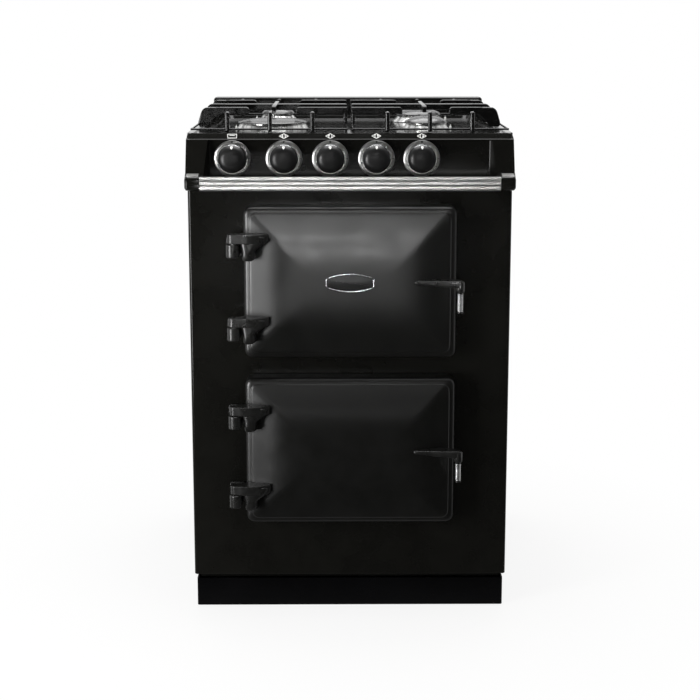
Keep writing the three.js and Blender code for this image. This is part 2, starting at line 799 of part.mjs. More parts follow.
// The turning plug of a gas tap. The spindle slides in its bore and turns it.
function valvePlug() {
  const bore = spindleRadius + gap;
  const profile = [
    [0, plug.back],
    [plug.radius - 1.5, plug.back],
    [plug.radius, plug.front],
    [bore, plug.front],
    [bore, spindleEnd + pushTravel + 1],
    [0, spindleEnd + pushTravel + 1],
  ];
  return turned(profile.reverse(), 'y', 14);
}

// One gas rail with its four tap bodies, the pipes to the burners and the run to the inlet at the back.
function gasManifold() {
  const tapBack = plug.back + 10;
  const railY = tapBack + 8;
  const railZ = inletPlace.z;
  const pieces = [];
  const bores = [];
  for (const { name, x } of knobs.slice(1)) {
    const half = plug.radius + 5;
    pieces.push(box(x - half, x + half, plug.front - 1, tapBack, knobHeight - half, knobHeight + half));
    pieces.push(rod(6, 0, 24, 'z', 10).translate([x, tapBack - 4, railZ - 8]));
    const bore = rod(plug.radius + turnGap, plug.front - 2, plug.back + 1, 'y', 14);
    bores.push(bore.translate([x, 0, knobHeight]));
    const burner = burners.find((b) => b.name === name);
    const path = [
      [x, tapBack - 3, knobHeight + 3],
      [x + (burner.x - x) * 0.2, tapBack + (burner.y - tapBack) * 0.2, knobHeight + 3],
      [burner.x, burner.y, knobHeight + 3],
      [burner.x, burner.y, throatFoot - 3],
    ];
    pieces.push(tubeAlong(path, 3.5, 8, 5, 6));
  }
  const run = [
    [-150, railY, railZ],
    [inletPlace.x, railY, railZ],
    [inletPlace.x, bodyDepth - 4, railZ],
  ];
  pieces.push(tubeAlong(run, 8, 20, 6, 8));
  pieces.push(rod(12, bodyDepth - 15, bodyDepth - 4, 'y', 6).translate([inletPlace.x, 0, railZ]));
  return cut(join(...pieces), ...bores);
}

function ovenSwitch() {
  const front = castingThickness + 1;
  const body = box(-18, 18, front, front + 35, -18, 18);
  const stem = rod(9, front + 35, front + 39, 'y', 12);
  return cut(join(body, stem), rod(spindleRadius + turnGap, front - 1, spindleEnd + 2, 'y', 12));
}

// ================================================================ hob
// The enamelled top with a shallow well, a hole for each burner and an upstand along the back.
function hobPlate() {
  const front = castingThickness;
  const outer = prism(roundedRect(-halfWidth, halfWidth, front, bodyDepth, 1), 'z', hobUnderside, hobTop);
  const wellHalf = halfWidth - 26.5;
  const wellBack = bodyDepth - 62;
  const well = prism(roundedRect(-wellHalf, wellHalf, 78, wellBack, 22), 'z', wellFloor, hobTop + 5, 4);
  const rim = halfWidth - 8.5;
  const underside = box(-rim, rim, front + 8, bodyDepth - 8, hobUnderside - 1, wellFloor - 2);
  const half = halfWidth - 6.5;
  const wall = 6;
  const [from, to] = [bodyDepth - 44, bodyDepth - 8];
  const upstand = prism(roundedRect(-half, half, hobTop - 10, gridTop, 6), 'y', from, to);
  const inside = box(-half + wall, half - wall, from + wall, to - wall, hobUnderside - 1, gridTop - wall);
  const holes = burners.map(({ x, y }) => {
    return rod(throatRadius + 1, hobUnderside - 10, hobTop + 1, 'z', 16).translate([x, y, 0]);
  });
  return cut(join(cut(outer, well), upstand), underside, inside, ...holes);
}

// The burner's flared skirt with its flame slots, and the throat that stands in the hob's hole.
function burnerBase({ cap, base, top }) {
  const skirtTop = top - capThickness - gap;
  const seat = wellFloor + gap;
  const profile = [
    [0, throatFoot],
    [throatRadius, throatFoot],
    [throatRadius, seat],
    [base, seat],
    [base, seat + 1.2],
    [cap - 2.5, skirtTop - 2],
    [cap - 5, skirtTop - 1.5],
    [cap - 5, skirtTop],
    [0, skirtTop],
  ];
  const slots = [];
  const count = 12;
  for (let i = 0; i < count; i++) {
    const slot = box(cap - 12, cap + 10, -1.6, 1.6, seat + 4.5, skirtTop + 1);
    slots.push(slot.rotate([0, 0, (360 * (i + 0.5)) / count]));
  }
  return cut(turned(profile, 'z', 24), ...slots);
}

function burnerCap({ cap, top }) {
  const profile = [
    [0, top - capThickness],
    [cap - 2, top - capThickness],
    [cap, top - 8],
    [cap - 0.6, top - 6.6],
    [cap * 0.82, top - 3],
    [cap * 0.5, top - 0.9],
    [cap * 0.2, top],
    [0, top],
  ];
  return turned(profile, 'z', 24);
}

// One pan support: bars over two burners, posts at the front and rear, legs at the sides, and a low frame.
function panSupport(side) {
  const bars = [];
  const half = gridBar / 2;
  const barLow = gridTop - gridBarHeight;
  const foot = hobTop + gap;
  const frameTop = foot + 6;
  function span(x0, x1, y0, y1, z0, z1) {
    bars.push(box(Math.min(side * x0, side * x1), Math.max(side * x0, side * x1), y0, y1, z0, z1));
  }
  const [front, middle, rear] = gridCrossings;
  span(burnerX - half, burnerX + half, front + burnerClear, rear - burnerClear, barLow, gridTop);
  for (const x of gridLines) {
    span(x - half, x + half, gridFront - 4, gridFront + 10, foot, gridTop - 1);
    span(x - half, x + half, gridRear - 8, gridRear, foot, gridTop - 1);
  }
  for (const y of gridCrossings) {
    const stops = y === middle
      ? [[gridInner, gridOuter]]
      : [[gridInner, burnerX - burnerClear], [burnerX + burnerClear, gridOuter]];
    for (const [x0, x1] of stops) {
      span(x0, x1, y - half, y + half, barLow, gridTop);
    }
    span(gridInner, gridInner + 7, y - half, y + half, foot, gridTop);
    const corners = [[-32, gridTop], [-3, gridTop], [2, gridTop - 4], [6, gridTop - 14], [10.5, gridTop - 28],
      [9, foot], [-12, foot], [-20, gridTop - 26], [-32, barLow]];
    const leg = outline(corners.map(([out, z]) => [side * (gridOuter + out), z]));
    bars.push(prism(leg, 'y', y - half, y + half));
  }
  const edge = gridOuter + 13;
  span(gridInner, edge, gridFront, gridFront + 6, foot, frameTop);
  span(gridInner, edge, gridRear - 8, gridRear, foot, frameTop);
  span(edge - 7, edge, gridFront, gridRear, foot, frameTop);
  span(gridInner, gridInner + 7, gridFront, gridRear, foot, frameTop);
  return join(...bars);
}

// ================================================================ assembly
const cooker = new THREE.Group();
cooker.name = 'range_cooker';

const carcass = new THREE.Group();
cooker.add(carcass);
addMesh(carcass, 'plinth', plinth(), 'enamel');
addMesh(carcass, 'base_frame', baseFrame(), 'matt');
addMesh(carcass, 'front_casting', frontCasting(), 'enamel');
addMesh(carcass, 'side_panel_left', sidePanel(-1), 'enamel');
addMesh(carcass, 'side_panel_right', sidePanel(1), 'enamel');
addMesh(carcass, 'back_panel', backPanel(), 'matt');
addMesh(carcass, 'cable_gland', cableGland(), 'plastic', glandPlace.x, 0, glandPlace.z);
addMesh(carcass, 'insulation', insulation(), 'wool');

for (const oven of ovens) {
  const group = new THREE.Group();
  cooker.add(group);
  addMesh(group, oven.name + '_oven_box', ovenBox(oven), 'enamel');
  addMesh(group, oven.name + '_oven_shelf', ovenShelf(), 'chrome', 0, 0, oven.shelf - 1 + gap);
}
addMesh(cooker, 'grill_element', grillElement(), 'steel', 0, 0, ovens[0].high - 17);
addMesh(cooker, 'ring_element', ringElement(), 'steel', 0, 0, fanHeight);
addMesh(cooker, 'fan_wheel', fanWheel(), 'steel', 0, 0, fanHeight);
addMesh(cooker, 'fan_motor', fanMotor(), 'steel', 0, 0, fanHeight);

for (const oven of ovens) {
  const group = new THREE.Group();
  cooker.add(group);
  addMesh(group, oven.name + '_door', door(oven), 'enamel');
  addMesh(group, oven.name + '_door_liner', doorLiner(oven), 'steel');
  const middle = (oven.low + oven.high) / 2;
  const form = doorForm(middle, (oven.high - oven.low) / 2 + doorOverlap, gap);
  const handleHeight = middle + handleRise;
  addMesh(group, oven.name + '_handle', doorHandle(form, handleHeight), 'castIron');
  const coilHeight = coil.turns * coil.pitch + 2 * coil.wire;
  const coilFoot = handleHeight - gripDrop - coilHeight;
  addMesh(group, oven.name + '_handle_coil', gripCoil(), 'chrome', gripX, gripY, coilFoot);
  armTops(oven).forEach((top, i) => {
    const name = oven.name + '_hinge_bracket_' + ['top', 'bottom'][i];
    addMesh(cooker, name, hingeBracket(), 'castIron', 0, 0, top);
  });
}
const badge = new THREE.Shape();
badge.absellipse(0, 0, 44, 17, 0, 2 * Math.PI);
const badgeBack = -doorFace - gap;
const badgeHeight = (ovens[0].low + ovens[0].high) / 2 + handleRise;
addMesh(cooker, 'badge_plate', prism(badge, 'y', badgeBack - 3, badgeBack, 14), 'chrome', 0, 0, badgeHeight);

addMesh(cooker, 'fascia', fascia(), 'enamel');
addMesh(cooker, 'towel_rail', towelRail(), 'aluminium');
addMesh(cooker, 'rail_bracket_left', railBracket(-1), 'castIron');
addMesh(cooker, 'rail_bracket_right', railBracket(1), 'castIron');
for (const { name, x } of knobs) {
  const control = new THREE.Group();
  control.position.set(x, 0, knobHeight);
  cooker.add(control);
  addMesh(control, 'knob_' + name, knobBody(), 'plastic');
  addMesh(control, 'dial_ring_' + name, dialRing(), 'steel');
  if (name === 'oven') {
    addMesh(control, 'oven_switch', ovenSwitch(), 'plastic');
  } else {
    addMesh(control, 'valve_plug_' + name, valvePlug(), 'brass');
  }
}
addMesh(cooker, 'gas_manifold', gasManifold(), 'brass');

const hob = new THREE.Group();
cooker.add(hob);
addMesh(hob, 'hob_plate', hobPlate(), 'enamel');
for (const burner of burners) {
  const place = new THREE.Group();
  place.position.set(burner.x, burner.y, 0);
  hob.add(place);
  addMesh(place, 'burner_base_' + burner.name, burnerBase(burner), 'aluminium');
  addMesh(place, 'burner_cap_' + burner.name, burnerCap(burner), 'castIron');
}
addMesh(hob, 'pan_support_left', panSupport(-1), 'castIron');
addMesh(hob, 'pan_support_right', panSupport(1), 'castIron');

const bounds = new THREE.Box3().setFromObject(cooker);
cooker.position.y = -(bounds.min.y + bounds.max.y) / 2;

export default cooker;
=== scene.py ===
import bmesh
import bpy
from math import atan2, cos, pi, radians, sin
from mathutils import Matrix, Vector


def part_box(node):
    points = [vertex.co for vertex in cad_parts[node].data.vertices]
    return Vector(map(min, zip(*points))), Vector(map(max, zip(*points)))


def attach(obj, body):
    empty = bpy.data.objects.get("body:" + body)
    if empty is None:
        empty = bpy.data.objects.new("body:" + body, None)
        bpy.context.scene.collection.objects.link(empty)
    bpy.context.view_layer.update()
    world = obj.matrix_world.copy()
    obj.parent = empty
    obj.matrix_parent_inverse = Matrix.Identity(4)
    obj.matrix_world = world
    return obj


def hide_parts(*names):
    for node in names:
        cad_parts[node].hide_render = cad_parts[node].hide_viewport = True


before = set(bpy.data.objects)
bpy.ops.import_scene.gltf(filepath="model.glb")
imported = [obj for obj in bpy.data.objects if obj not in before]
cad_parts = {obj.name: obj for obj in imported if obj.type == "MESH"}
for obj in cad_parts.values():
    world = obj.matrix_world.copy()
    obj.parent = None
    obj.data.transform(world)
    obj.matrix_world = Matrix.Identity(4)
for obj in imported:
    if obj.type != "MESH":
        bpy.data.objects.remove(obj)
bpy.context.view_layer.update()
mm = 0.001
print("frame loaded,", len(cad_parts), "nodes")


# Places are vectors in metres; at() makes one from millimetres across from the middle, back from the
# body's front face and up from the floor. All other sizes are millimetres.
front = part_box("front_casting")[0].y
directions = {'X': Vector((1, 0, 0)), 'Y': Vector((0, 1, 0)), 'Z': Vector((0, 0, 1)),
              '-Y': Vector((0, -1, 0)), '-Z': Vector((0, 0, -1))}


def at(across, back, up):
    return Vector((across * mm, front + back * mm, up * mm))


def measured(node):  # a CAD node's low and high corners
    return [(corner.x / mm, (corner.y - front) / mm, corner.z / mm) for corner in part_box(node)]


def near(a, b, slack=0.05):
    return abs(a - b) < slack * mm


def dropSelection():
    if bpy.context.mode != 'OBJECT':
        bpy.ops.object.mode_set(mode='OBJECT')
    bpy.ops.object.select_all(action='DESELECT')


def take(*pieces):
    dropSelection()
    for piece in pieces:
        piece.select_set(True)
    bpy.context.view_layer.objects.active = pieces[0]


def settle(name):  # names the active piece and fixes its place, turn and size into the mesh
    bpy.ops.object.transform_apply(location=True, rotation=True, scale=True)
    bpy.context.object.name = name
    return bpy.context.object


def openMesh(piece, kind='FACE', start='DESELECT'):
    take(piece)
    bpy.ops.object.mode_set(mode='EDIT')
    bpy.ops.mesh.select_mode(type=kind)
    bpy.ops.mesh.select_all(action=start)


def closeMesh():
    bpy.ops.object.mode_set(mode='OBJECT')


def openFacing(piece, axis):  # opens a piece with the faces picked that look along an axis
    openMesh(piece)
    net = bmesh.from_edit_mesh(piece.data)
    for face in net.faces:
        if face.normal.dot(directions[axis]) > 0.99:
            face.select_set(True)
    bmesh.update_edit_mesh(piece.data)


def pickPoints(piece, test):
    bpy.ops.mesh.select_all(action='DESELECT')
    net = bmesh.from_edit_mesh(piece.data)
    for point in net.verts:
        if test(point.co):
            point.select_set(True)
    bmesh.update_edit_mesh(piece.data)


def pull(shift):  # pulls the picked faces out of the piece
    bpy.ops.mesh.extrude_region_move(TRANSFORM_OT_translate={"value": [part * mm for part in shift]})


def inset(thickness):
    bpy.ops.mesh.inset(thickness=thickness * mm)


def scale(value, centre):
    bpy.ops.transform.resize(value=value, center_override=centre)


def closeSeams(piece, reach=0.002):  # merges doubles and turns every face outwards
    openMesh(piece, 'FACE', 'SELECT')
    bpy.ops.mesh.remove_doubles(threshold=reach * mm)
    bpy.ops.mesh.normals_make_consistent(inside=False)
    closeMesh()


# Starting shapes.
def addBox(name, low, high):
    dropSelection()
    bpy.ops.mesh.primitive_cube_add(size=1, location=(low + high) / 2, scale=high - low)
    return settle(name)


def roundEdges(piece, test, radius, segments=4):  # bevels the edges whose two ends pass the test
    openMesh(piece, 'EDGE')
    net = bmesh.from_edit_mesh(piece.data)
    for edge in net.edges:
        if test(edge.verts[0].co, edge.verts[1].co):
            edge.select_set(True)
    bmesh.update_edit_mesh(piece.data)
    bpy.ops.mesh.bevel(offset=radius * mm, segments=segments, affect='EDGES')
    closeMesh()


def addBlock(name, low, high, along=0, radius=0, segments=4):  # corners in millimetres
    piece = addBox(name, at(*low), at(*high))
    if radius:
        roundEdges(piece, lambda a, b: abs((a - b).normalized()[along]) > 0.99, radius, segments)
    return piece


def addChain(name, points):  # a line of edges, each point pulled out of the one before
    dropSelection()
    bpy.ops.mesh.primitive_plane_add(size=mm, location=points[0])
    piece = settle(name)
    openMesh(piece, 'VERT', 'SELECT')
    bpy.ops.mesh.merge(type='CENTER')
    for here, there in zip(points, points[1:]):
        bpy.ops.mesh.extrude_vertices_move(TRANSFORM_OT_translate={"value": there - here})
    closeMesh()
    return piece


def addSlab(name, outline, push):  # a closed outline, filled and pulled along push
    piece = addChain(name, outline)
    openMesh(piece, 'VERT', 'SELECT')
    bpy.ops.mesh.edge_face_add()
    bpy.ops.mesh.select_mode(type='FACE')
    pull(push)
    bpy.ops.mesh.select_all(action='SELECT')
    bpy.ops.mesh.normals_make_consistent(inside=False)
    closeMesh()
    return piece


def addTurned(name, profile, centre, axis='Z', steps=48):  # profile of (radius, distance along the axis)
    along = directions[axis]
    points = [centre + Vector((radius * mm, 0, 0)) + along * (reach * mm) for radius, reach in profile]
    piece = addChain(name, points)
    openMesh(piece, 'VERT', 'SELECT')
    bpy.ops.mesh.spin(steps=steps, angle=2 * pi, center=centre, axis=along)
    closeMesh()
    closeSeams(piece)
    return piece


def addWire(name, points, thickness, corner=0, closed=False):  # a round bar along points with eased corners
    piece = addChain(name, points)
    openMesh(piece, 'VERT', 'SELECT')
    if closed:
        bpy.ops.mesh.edge_face_add()
        bpy.ops.mesh.delete(type='ONLY_FACE')
        bpy.ops.mesh.select_all(action='SELECT')
    else:
        ends = points[0], points[-1]
        pickPoints(piece, lambda place: min((place - end).length for end in ends) > 0.01 * mm)
    if corner:
        bpy.ops.mesh.bevel(offset=corner * mm, segments=6, affect='VERTICES')
    closeMesh()
    take(piece)
    bpy.ops.object.convert(target='CURVE')
    wire = bpy.context.object
    wire.data.bevel_depth = thickness / 2 * mm
    wire.data.bevel_resolution = 2
    wire.data.use_fill_caps = not closed
    bpy.ops.object.convert(target='MESH')
    piece = bpy.context.object
    piece.name = name
    return smooth(piece)


# Shaping.
def change(piece, kind, **settings):  # adds a modifier and applies it
    take(piece)
    bpy.ops.object.modifier_add(type=kind)
    for key, value in settings.items():
        setattr(piece.modifiers[-1], key, value)
    bpy.ops.object.modifier_apply(modifier=piece.modifiers[-1].name)


def soften(piece, width, segments=3, angle=30):  # a small bevel on every edge, with flat faces left flat
    take(piece)
    bpy.ops.object.shade_smooth()
    change(piece, 'BEVEL', width=width * mm, segments=segments, limit_method='ANGLE',
           angle_limit=radians(angle), harden_normals=True)
    return piece


def smooth(piece, angle=35):
    take(piece)
    bpy.ops.object.shade_smooth_by_angle(angle=radians(angle))
    return piece


def rounder(piece, levels=2):
    change(piece, 'SUBSURF', levels=levels, render_levels=levels)
    bpy.ops.object.shade_smooth()


def cutOut(piece, other):
    change(piece, 'BOOLEAN', operation='DIFFERENCE', object=other, solver='EXACT')
    bpy.data.objects.remove(other)


def bore(piece, radius, start, end, place, axis, steps):  # a round hole from start to end along the axis
    hole = [(0, start), (radius, start), (radius, end), (0, end)]
    cutOut(piece, addTurned("hole", hole, place, axis, steps))


def gather(name, pieces):  # several loose bodies kept as one piece
    take(*pieces)
    if len(pieces) > 1:
        bpy.ops.object.join()
    bpy.context.object.name = name
    return bpy.context.object


def copyOf(piece, name, shift):
    take(piece)
    bpy.ops.object.duplicate(linked=False)
    bpy.ops.transform.translate(value=shift)
    return settle(name)


def spread(piece, shifts):  # a copy at each shift, in place of the piece itself
    copies = [copyOf(piece, "copy", shift) for shift in shifts]
    bpy.data.objects.remove(piece)
    return copies


def mirrorOf(piece, name):  # across the middle of the cooker
    take(piece)
    bpy.ops.object.duplicate(linked=False)
    scale((-1, 1, 1), (0, 0, 0))
    twin = settle(name)
    closeSeams(twin)
    return twin


def turnedCopy(piece, name, angle, centre, axis='Z'):
    take(piece)
    bpy.ops.object.duplicate(linked=False)
    bpy.ops.transform.rotate(value=angle, orient_axis=axis, center_override=centre)
    return settle(name)


def fit(piece, body, slot, finish, *nodes):  # finish and body of a finished piece; the slot is not used
    piece.data.materials.clear()
    piece.data.materials.append(finish)
    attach(piece, body)
    if nodes:
        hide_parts(*nodes)


def keep(node, finish):  # a CAD node that stays as it is, with a finish of its own
    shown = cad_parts[node]
    shown.data.materials.clear()
    shown.data.materials.append(finish)


# Finishes. Every pattern sits on Object coordinates, so it stays with its piece.
def addNode(tree, kind, inputs, **settings):  # each input is a value or another node's output
    node = tree.nodes.new("ShaderNode" + kind)
    for key, value in settings.items():
        setattr(node, key, value)
    for socket, value in inputs.items():
        if isinstance(value, bpy.types.NodeSocket):
            tree.links.new(value, node.inputs[socket])
        else:
            node.inputs[socket].default_value = value
    return node


def addGrain(tree, place, size, detail=3.0, stretch=(1, 1, 1)):  # noise; size is a grain's width
    shift = addNode(tree, "Mapping", {"Vector": place, "Scale": stretch})
    noise = {"Vector": shift.outputs["Vector"], "Scale": 1 / (size * mm), "Detail": detail, "Roughness": 0.55}
    return addNode(tree, "TexNoise", noise).outputs["Fac"]


def addRange(tree, source, fromLow, fromHigh, toLow=0, toHigh=1):
    ends = {"From Min": fromLow, "From Max": fromHigh, "To Min": toLow, "To Max": toHigh}
    return addNode(tree, "MapRange", {"Value": source, **ends}).outputs["Result"]


def addBlend(tree, share, first, second):  # colour between two, by share
    first, second = [(*colour, 1) if isinstance(colour, tuple) else colour for colour in (first, second)]
    return addNode(tree, "Mix", {"Factor": share, 6: first, 7: second}, data_type='RGBA').outputs[2]


def addMath(tree, how, *sources):
    return addNode(tree, "Math", dict(enumerate(sources)), operation=how).outputs["Value"]


def startFinish(name, settings):
    material = bpy.data.materials.new(name)
    material.use_nodes = True
    tree = material.node_tree
    for socket, value in settings.items():
        tree.nodes["Principled BSDF"].inputs[socket].default_value = value
    return material, tree, addNode(tree, "TexCoord", {}).outputs["Object"]


def endFinish(material, colour, gloss, roughness, *heights):  # heights are bumps, each (source, depth)
    tree = material.node_tree
    shader = tree.nodes["Principled BSDF"].inputs
    tree.links.new(colour, shader["Base Color"])
    tree.links.new(addRange(tree, gloss, 0.3, 0.7, *roughness), shader["Roughness"])
    below = {}
    for source, depth in heights:
        bump = addNode(tree, "Bump", {"Strength": 1, "Distance": depth * mm, "Height": source, **below})
        below = {"Normal": bump.outputs["Normal"]}
    tree.links.new(below["Normal"], shader["Normal"])
    return material


def cloudy(tree, place, look):  # the dark and the light colour in soft clouds
    cloud = addRange(tree, addGrain(tree, place, look["cloud"]), 0.35, 0.65)
    return addBlend(tree, cloud, look["dark"], look["light"])


def enamelFinish(name, look):  # vitreous enamel: a glassy coat with orange peel and a fine speckle
    material, tree, place = startFinish(name, {"Specular IOR Level": look["shine"]})
    spotSize, spotReach = look["spots"]
    (peelSize, peelDepth), (fineSize, fineDepth) = look["peel"], look["fine"]
    cells = addNode(tree, "TexVoronoi", {"Vector": place, "Scale": 1 / (spotSize * mm)})
    speckle = addRange(tree, cells.outputs["Distance"], 0, spotReach, 1, 0)
    colour = addBlend(tree, speckle, cloudy(tree, place, look), look["speckle"])
    return endFinish(material, colour, addGrain(tree, place, look["patch"]), look["roughness"],
                     (addGrain(tree, place, peelSize, 1.5), peelDepth),
                     (addGrain(tree, place, fineSize, 2), fineDepth))


# Spots are (size, reach), peel and fine are (size, depth) of a bump.
bodyEnamel = enamelFinish("body enamel", {
    "shine": 0.16, "roughness": (0.13, 0.2), "patch": 90, "cloud": 60, "spots": (1.6, 0.22),
    "dark": (0.0042, 0.0041, 0.0035), "light": (0.0055, 0.0054, 0.0046), "speckle": (0.009, 0.009, 0.008),
    "peel": (9, 0.05), "fine": (1.2, 0.004),
})
doorEnamel = enamelFinish("door enamel", {
    "shine": 0.55, "roughness": (0.3, 0.38), "patch": 45, "cloud": 25, "spots": (1.1, 0.3),
    "dark": (0.0026, 0.0026, 0.0022), "light": (0.0036, 0.0036, 0.0031), "speckle": (0.009, 0.009, 0.008),
    "peel": (4, 0.035), "fine": (0.8, 0.012),
})
gridEnamel = enamelFinish("pan support enamel", {
    "shine": 0.45, "roughness": (0.1, 0.18), "patch": 30, "cloud": 20, "spots": (1.4, 0.2),
    "dark": (0.0025, 0.0025, 0.0023), "light": (0.0042, 0.0042, 0.0039), "speckle": (0.008, 0.008, 0.007),
    "peel": (12, 0.06), "fine": (1, 0.001),
})
hobEnamel = enamelFinish("hob enamel", {
    "shine": 0.42, "roughness": (0.1, 0.14), "patch": 60, "cloud": 50, "spots": (1.5, 0.22),
    "dark": (0.0042, 0.0042, 0.0038), "light": (0.0056, 0.0056, 0.005), "speckle": (0.01, 0.01, 0.009),
    "peel": (14, 0.01), "fine": (1.2, 0.002),
})
sheetEnamel = enamelFinish("sheet enamel", {
    "shine": 0.2, "roughness": (0.18, 0.26), "patch": 120, "cloud": 90, "spots": (1.6, 0.2),
    "dark": (0.0045, 0.0045, 0.004), "light": (0.006, 0.006, 0.0053), "speckle": (0.01, 0.01, 0.009),
    "peel": (14, 0.05), "fine": (1.5, 0.006),
})
plinthBlack = enamelFinish("plinth paint", {
    "shine": 0.1, "roughness": (0.2, 0.3), "patch": 120, "cloud": 90, "spots": (1.6, 0.2),
    "dark": (0.0006, 0.0006, 0.0008), "light": (0.0012, 0.0012, 0.0015), "speckle": (0.003, 0.003, 0.003),
    "peel": (14, 0.03), "fine": (1.5, 0.006),
})
ovenEnamel = enamelFinish("oven enamel", {
    "shine": 0.5, "roughness": (0.2, 0.34), "patch": 50, "cloud": 40, "spots": (4, 0.24),
    "dark": (0.012, 0.012, 0.014), "light": (0.018, 0.018, 0.02), "speckle": (0.09, 0.09, 0.095),
    "peel": (6, 0.06), "fine": (1, 0.01),
})


def castFinish(name, look):  # black enamelled or blacked casting, rubbed at its edges
    material, tree, place = startFinish(name, {"Specular IOR Level": look["shine"]})
    (waveSize, waveDepth), (sandSize, sandDepth) = look["wave"], look["sand"]
    edge = addRange(tree, addNode(tree, "NewGeometry", {}).outputs["Pointiness"], 0.52, 0.6)
    patches = addRange(tree, addGrain(tree, place, 3), 0.4, 0.62)
    bare = addMath(tree, 'MULTIPLY', edge, patches)
    colour = addBlend(tree, bare, cloudy(tree, place, look), look["rubbed"])
    return endFinish(material, colour, addGrain(tree, place, look["patch"]), look["roughness"],
                     (addGrain(tree, place, waveSize, 1), waveDepth),
                     (addGrain(tree, place, sandSize, 4), sandDepth))


handleBlack = castFinish("handle black", {
    "shine": 0.5, "roughness": (0.24, 0.36), "patch": 15, "cloud": 12, "wave": (7, 0.08), "sand": (0.9, 0.02),
    "dark": (0.0045, 0.0045, 0.0042), "light": (0.008, 0.008, 0.0075), "rubbed": (0.02, 0.02, 0.019),
})
capBlack = castFinish("burner cap enamel", {
    "shine": 0.6, "roughness": (0.2, 0.3), "patch": 12, "cloud": 14, "wave": (8, 0.06), "sand": (0.8, 0.04),
    "dark": (0.014, 0.014, 0.0145), "light": (0.024, 0.024, 0.0245), "rubbed": (0.09, 0.09, 0.09),
})
print("black finishes made")


def metalFinish(name, look):  # bare metal with lines drawn out along one axis, or even grain
    material, tree, place = startFinish(name, {"Metallic": 1.0, "Base Color": (*look["colour"], 1)})
    (lineSize, lineDepth), (cloudSize, cloudDepth) = look["lines"], look["clouds"]
    lines = addGrain(tree, place, lineSize, 4, look.get("stretch", (1, 1, 1)))
    clouds = addGrain(tree, place, cloudSize, 2)
    share = addRange(tree, addMath(tree, 'ADD', lines, clouds), 0.75, 1.25)
    colour = addBlend(tree, share, look["dark"], look["colour"])
    return endFinish(material, colour, lines, look["roughness"], (lines, lineDepth), (clouds, cloudDepth))


railSteel = metalFinish("rail metal", {
    "colour": (0.55, 0.55, 0.54), "dark": (0.49, 0.49, 0.48), "roughness": (0.3, 0.36),
    "lines": (1.2, 0.001), "stretch": (0.02, 1, 1), "clouds": (50, 0.001),
})
burnerAluminium = metalFinish("burner aluminium", {
    "colour": (0.86, 0.86, 0.85), "dark": (0.7, 0.7, 0.69), "roughness": (0.2, 0.32),
    "lines": (1.5, 0.03), "clouds": (18, 0.05),
})
chrome = metalFinish("chrome", {
    "colour": (0.74, 0.75, 0.76), "dark": (0.66, 0.67, 0.68), "roughness": (0.05, 0.11),
    "lines": (6, 0.004), "clouds": (12, 0.01),
})
gripChrome = metalFinish("grip coil", {
    "colour": (0.93, 0.93, 0.93), "dark": (0.86, 0.86, 0.86), "roughness": (0.3, 0.4),
    "lines": (3, 0.004), "clouds": (9, 0.01),
})
sheetSteel = metalFinish("zinc coated sheet", {
    "colour": (0.42, 0.43, 0.44), "dark": (0.29, 0.3, 0.31), "roughness": (0.34, 0.52),
    "lines": (9, 0.01), "clouds": (30, 0.08),
})
elementSteel = metalFinish("element sheath", {
    "colour": (0.2, 0.19, 0.18), "dark": (0.1, 0.085, 0.075), "roughness": (0.42, 0.6),
    "lines": (3, 0.02), "clouds": (22, 0.02),
})
brass = metalFinish("brass", {
    "colour": (0.55, 0.4, 0.17), "dark": (0.38, 0.26, 0.1), "roughness": (0.26, 0.42),
    "lines": (2, 0.01), "clouds": (12, 0.02),
})
screwSteel = metalFinish("screw steel", {
    "colour": (0.46, 0.46, 0.45), "dark": (0.3, 0.3, 0.3), "roughness": (0.25, 0.4),
    "lines": (0.8, 0.008), "clouds": (5, 0.01),
})
# The dial rings' dark and light colours are painted highlight and shade, laid in a cross of sectors round
# each knob's axis.
brushed = {
    "dark": (0.26, 0.26, 0.255), "light": (0.58, 0.58, 0.57), "roughness": (0.28, 0.4),
    "lines": (0.25, 0.012), "paintedGlintTurn": 1.2,
}


def ringFinish(name, centre):  # steel brushed in circles round a knob's axis, with a painted highlight in a cross of lighter sectors
    material, tree, place = startFinish(name, {"Metallic": 1.0, "Anisotropic": 0.5})
    shift = addNode(tree, "Mapping", {"Vector": place, "Location": -centre})
    parts = addNode(tree, "SeparateXYZ", {"Vector": shift.outputs["Vector"]}).outputs
    flat = addNode(tree, "CombineXYZ", {"X": parts["X"], "Y": parts["Z"]}).outputs["Vector"]
    reach = addNode(tree, "VectorMath", {0: flat}, operation='LENGTH').outputs["Value"]
    turn = addMath(tree, 'ARCTAN2', parts["Z"], parts["X"])
    rings = addNode(tree, "CombineXYZ", {"X": reach, "Y": addRange(tree, turn, -pi, pi, -0.5 * mm, 0.5 * mm)})
    size, depth = brushed["lines"]
    lines = addGrain(tree, rings.outputs["Vector"], size, 3)
    first = brushed["paintedGlintTurn"]  # painted highlight: the colour is lighter in a cross of sectors round the axis, fixed to the ring
    swing = addRange(tree, turn, -pi, pi, -2 * pi + first, 2 * pi + first)
    paintedGlintShare = addRange(tree, addMath(tree, 'SINE', swing), -1, 1)
    colour = addBlend(tree, paintedGlintShare, brushed["dark"], brushed["light"])
    return endFinish(material, colour, lines, brushed["roughness"], (lines, depth))


def plainFinish(name, look):  # plastic, paint, rope and wool: one colour with its own grain
    material, tree, place = startFinish(name, {"Specular IOR Level": look["shine"]})
    size, depth = look["grain"]
    grain = addGrain(tree, place, size, 4, look.get("stretch", (1, 1, 1)))
    colour = addBlend(tree, addRange(tree, grain, 0.3, 0.7), look["dark"], look["light"])
    gloss = addGrain(tree, place, look["patch"])
    return endFinish(material, colour, gloss, look["roughness"], (grain, depth))


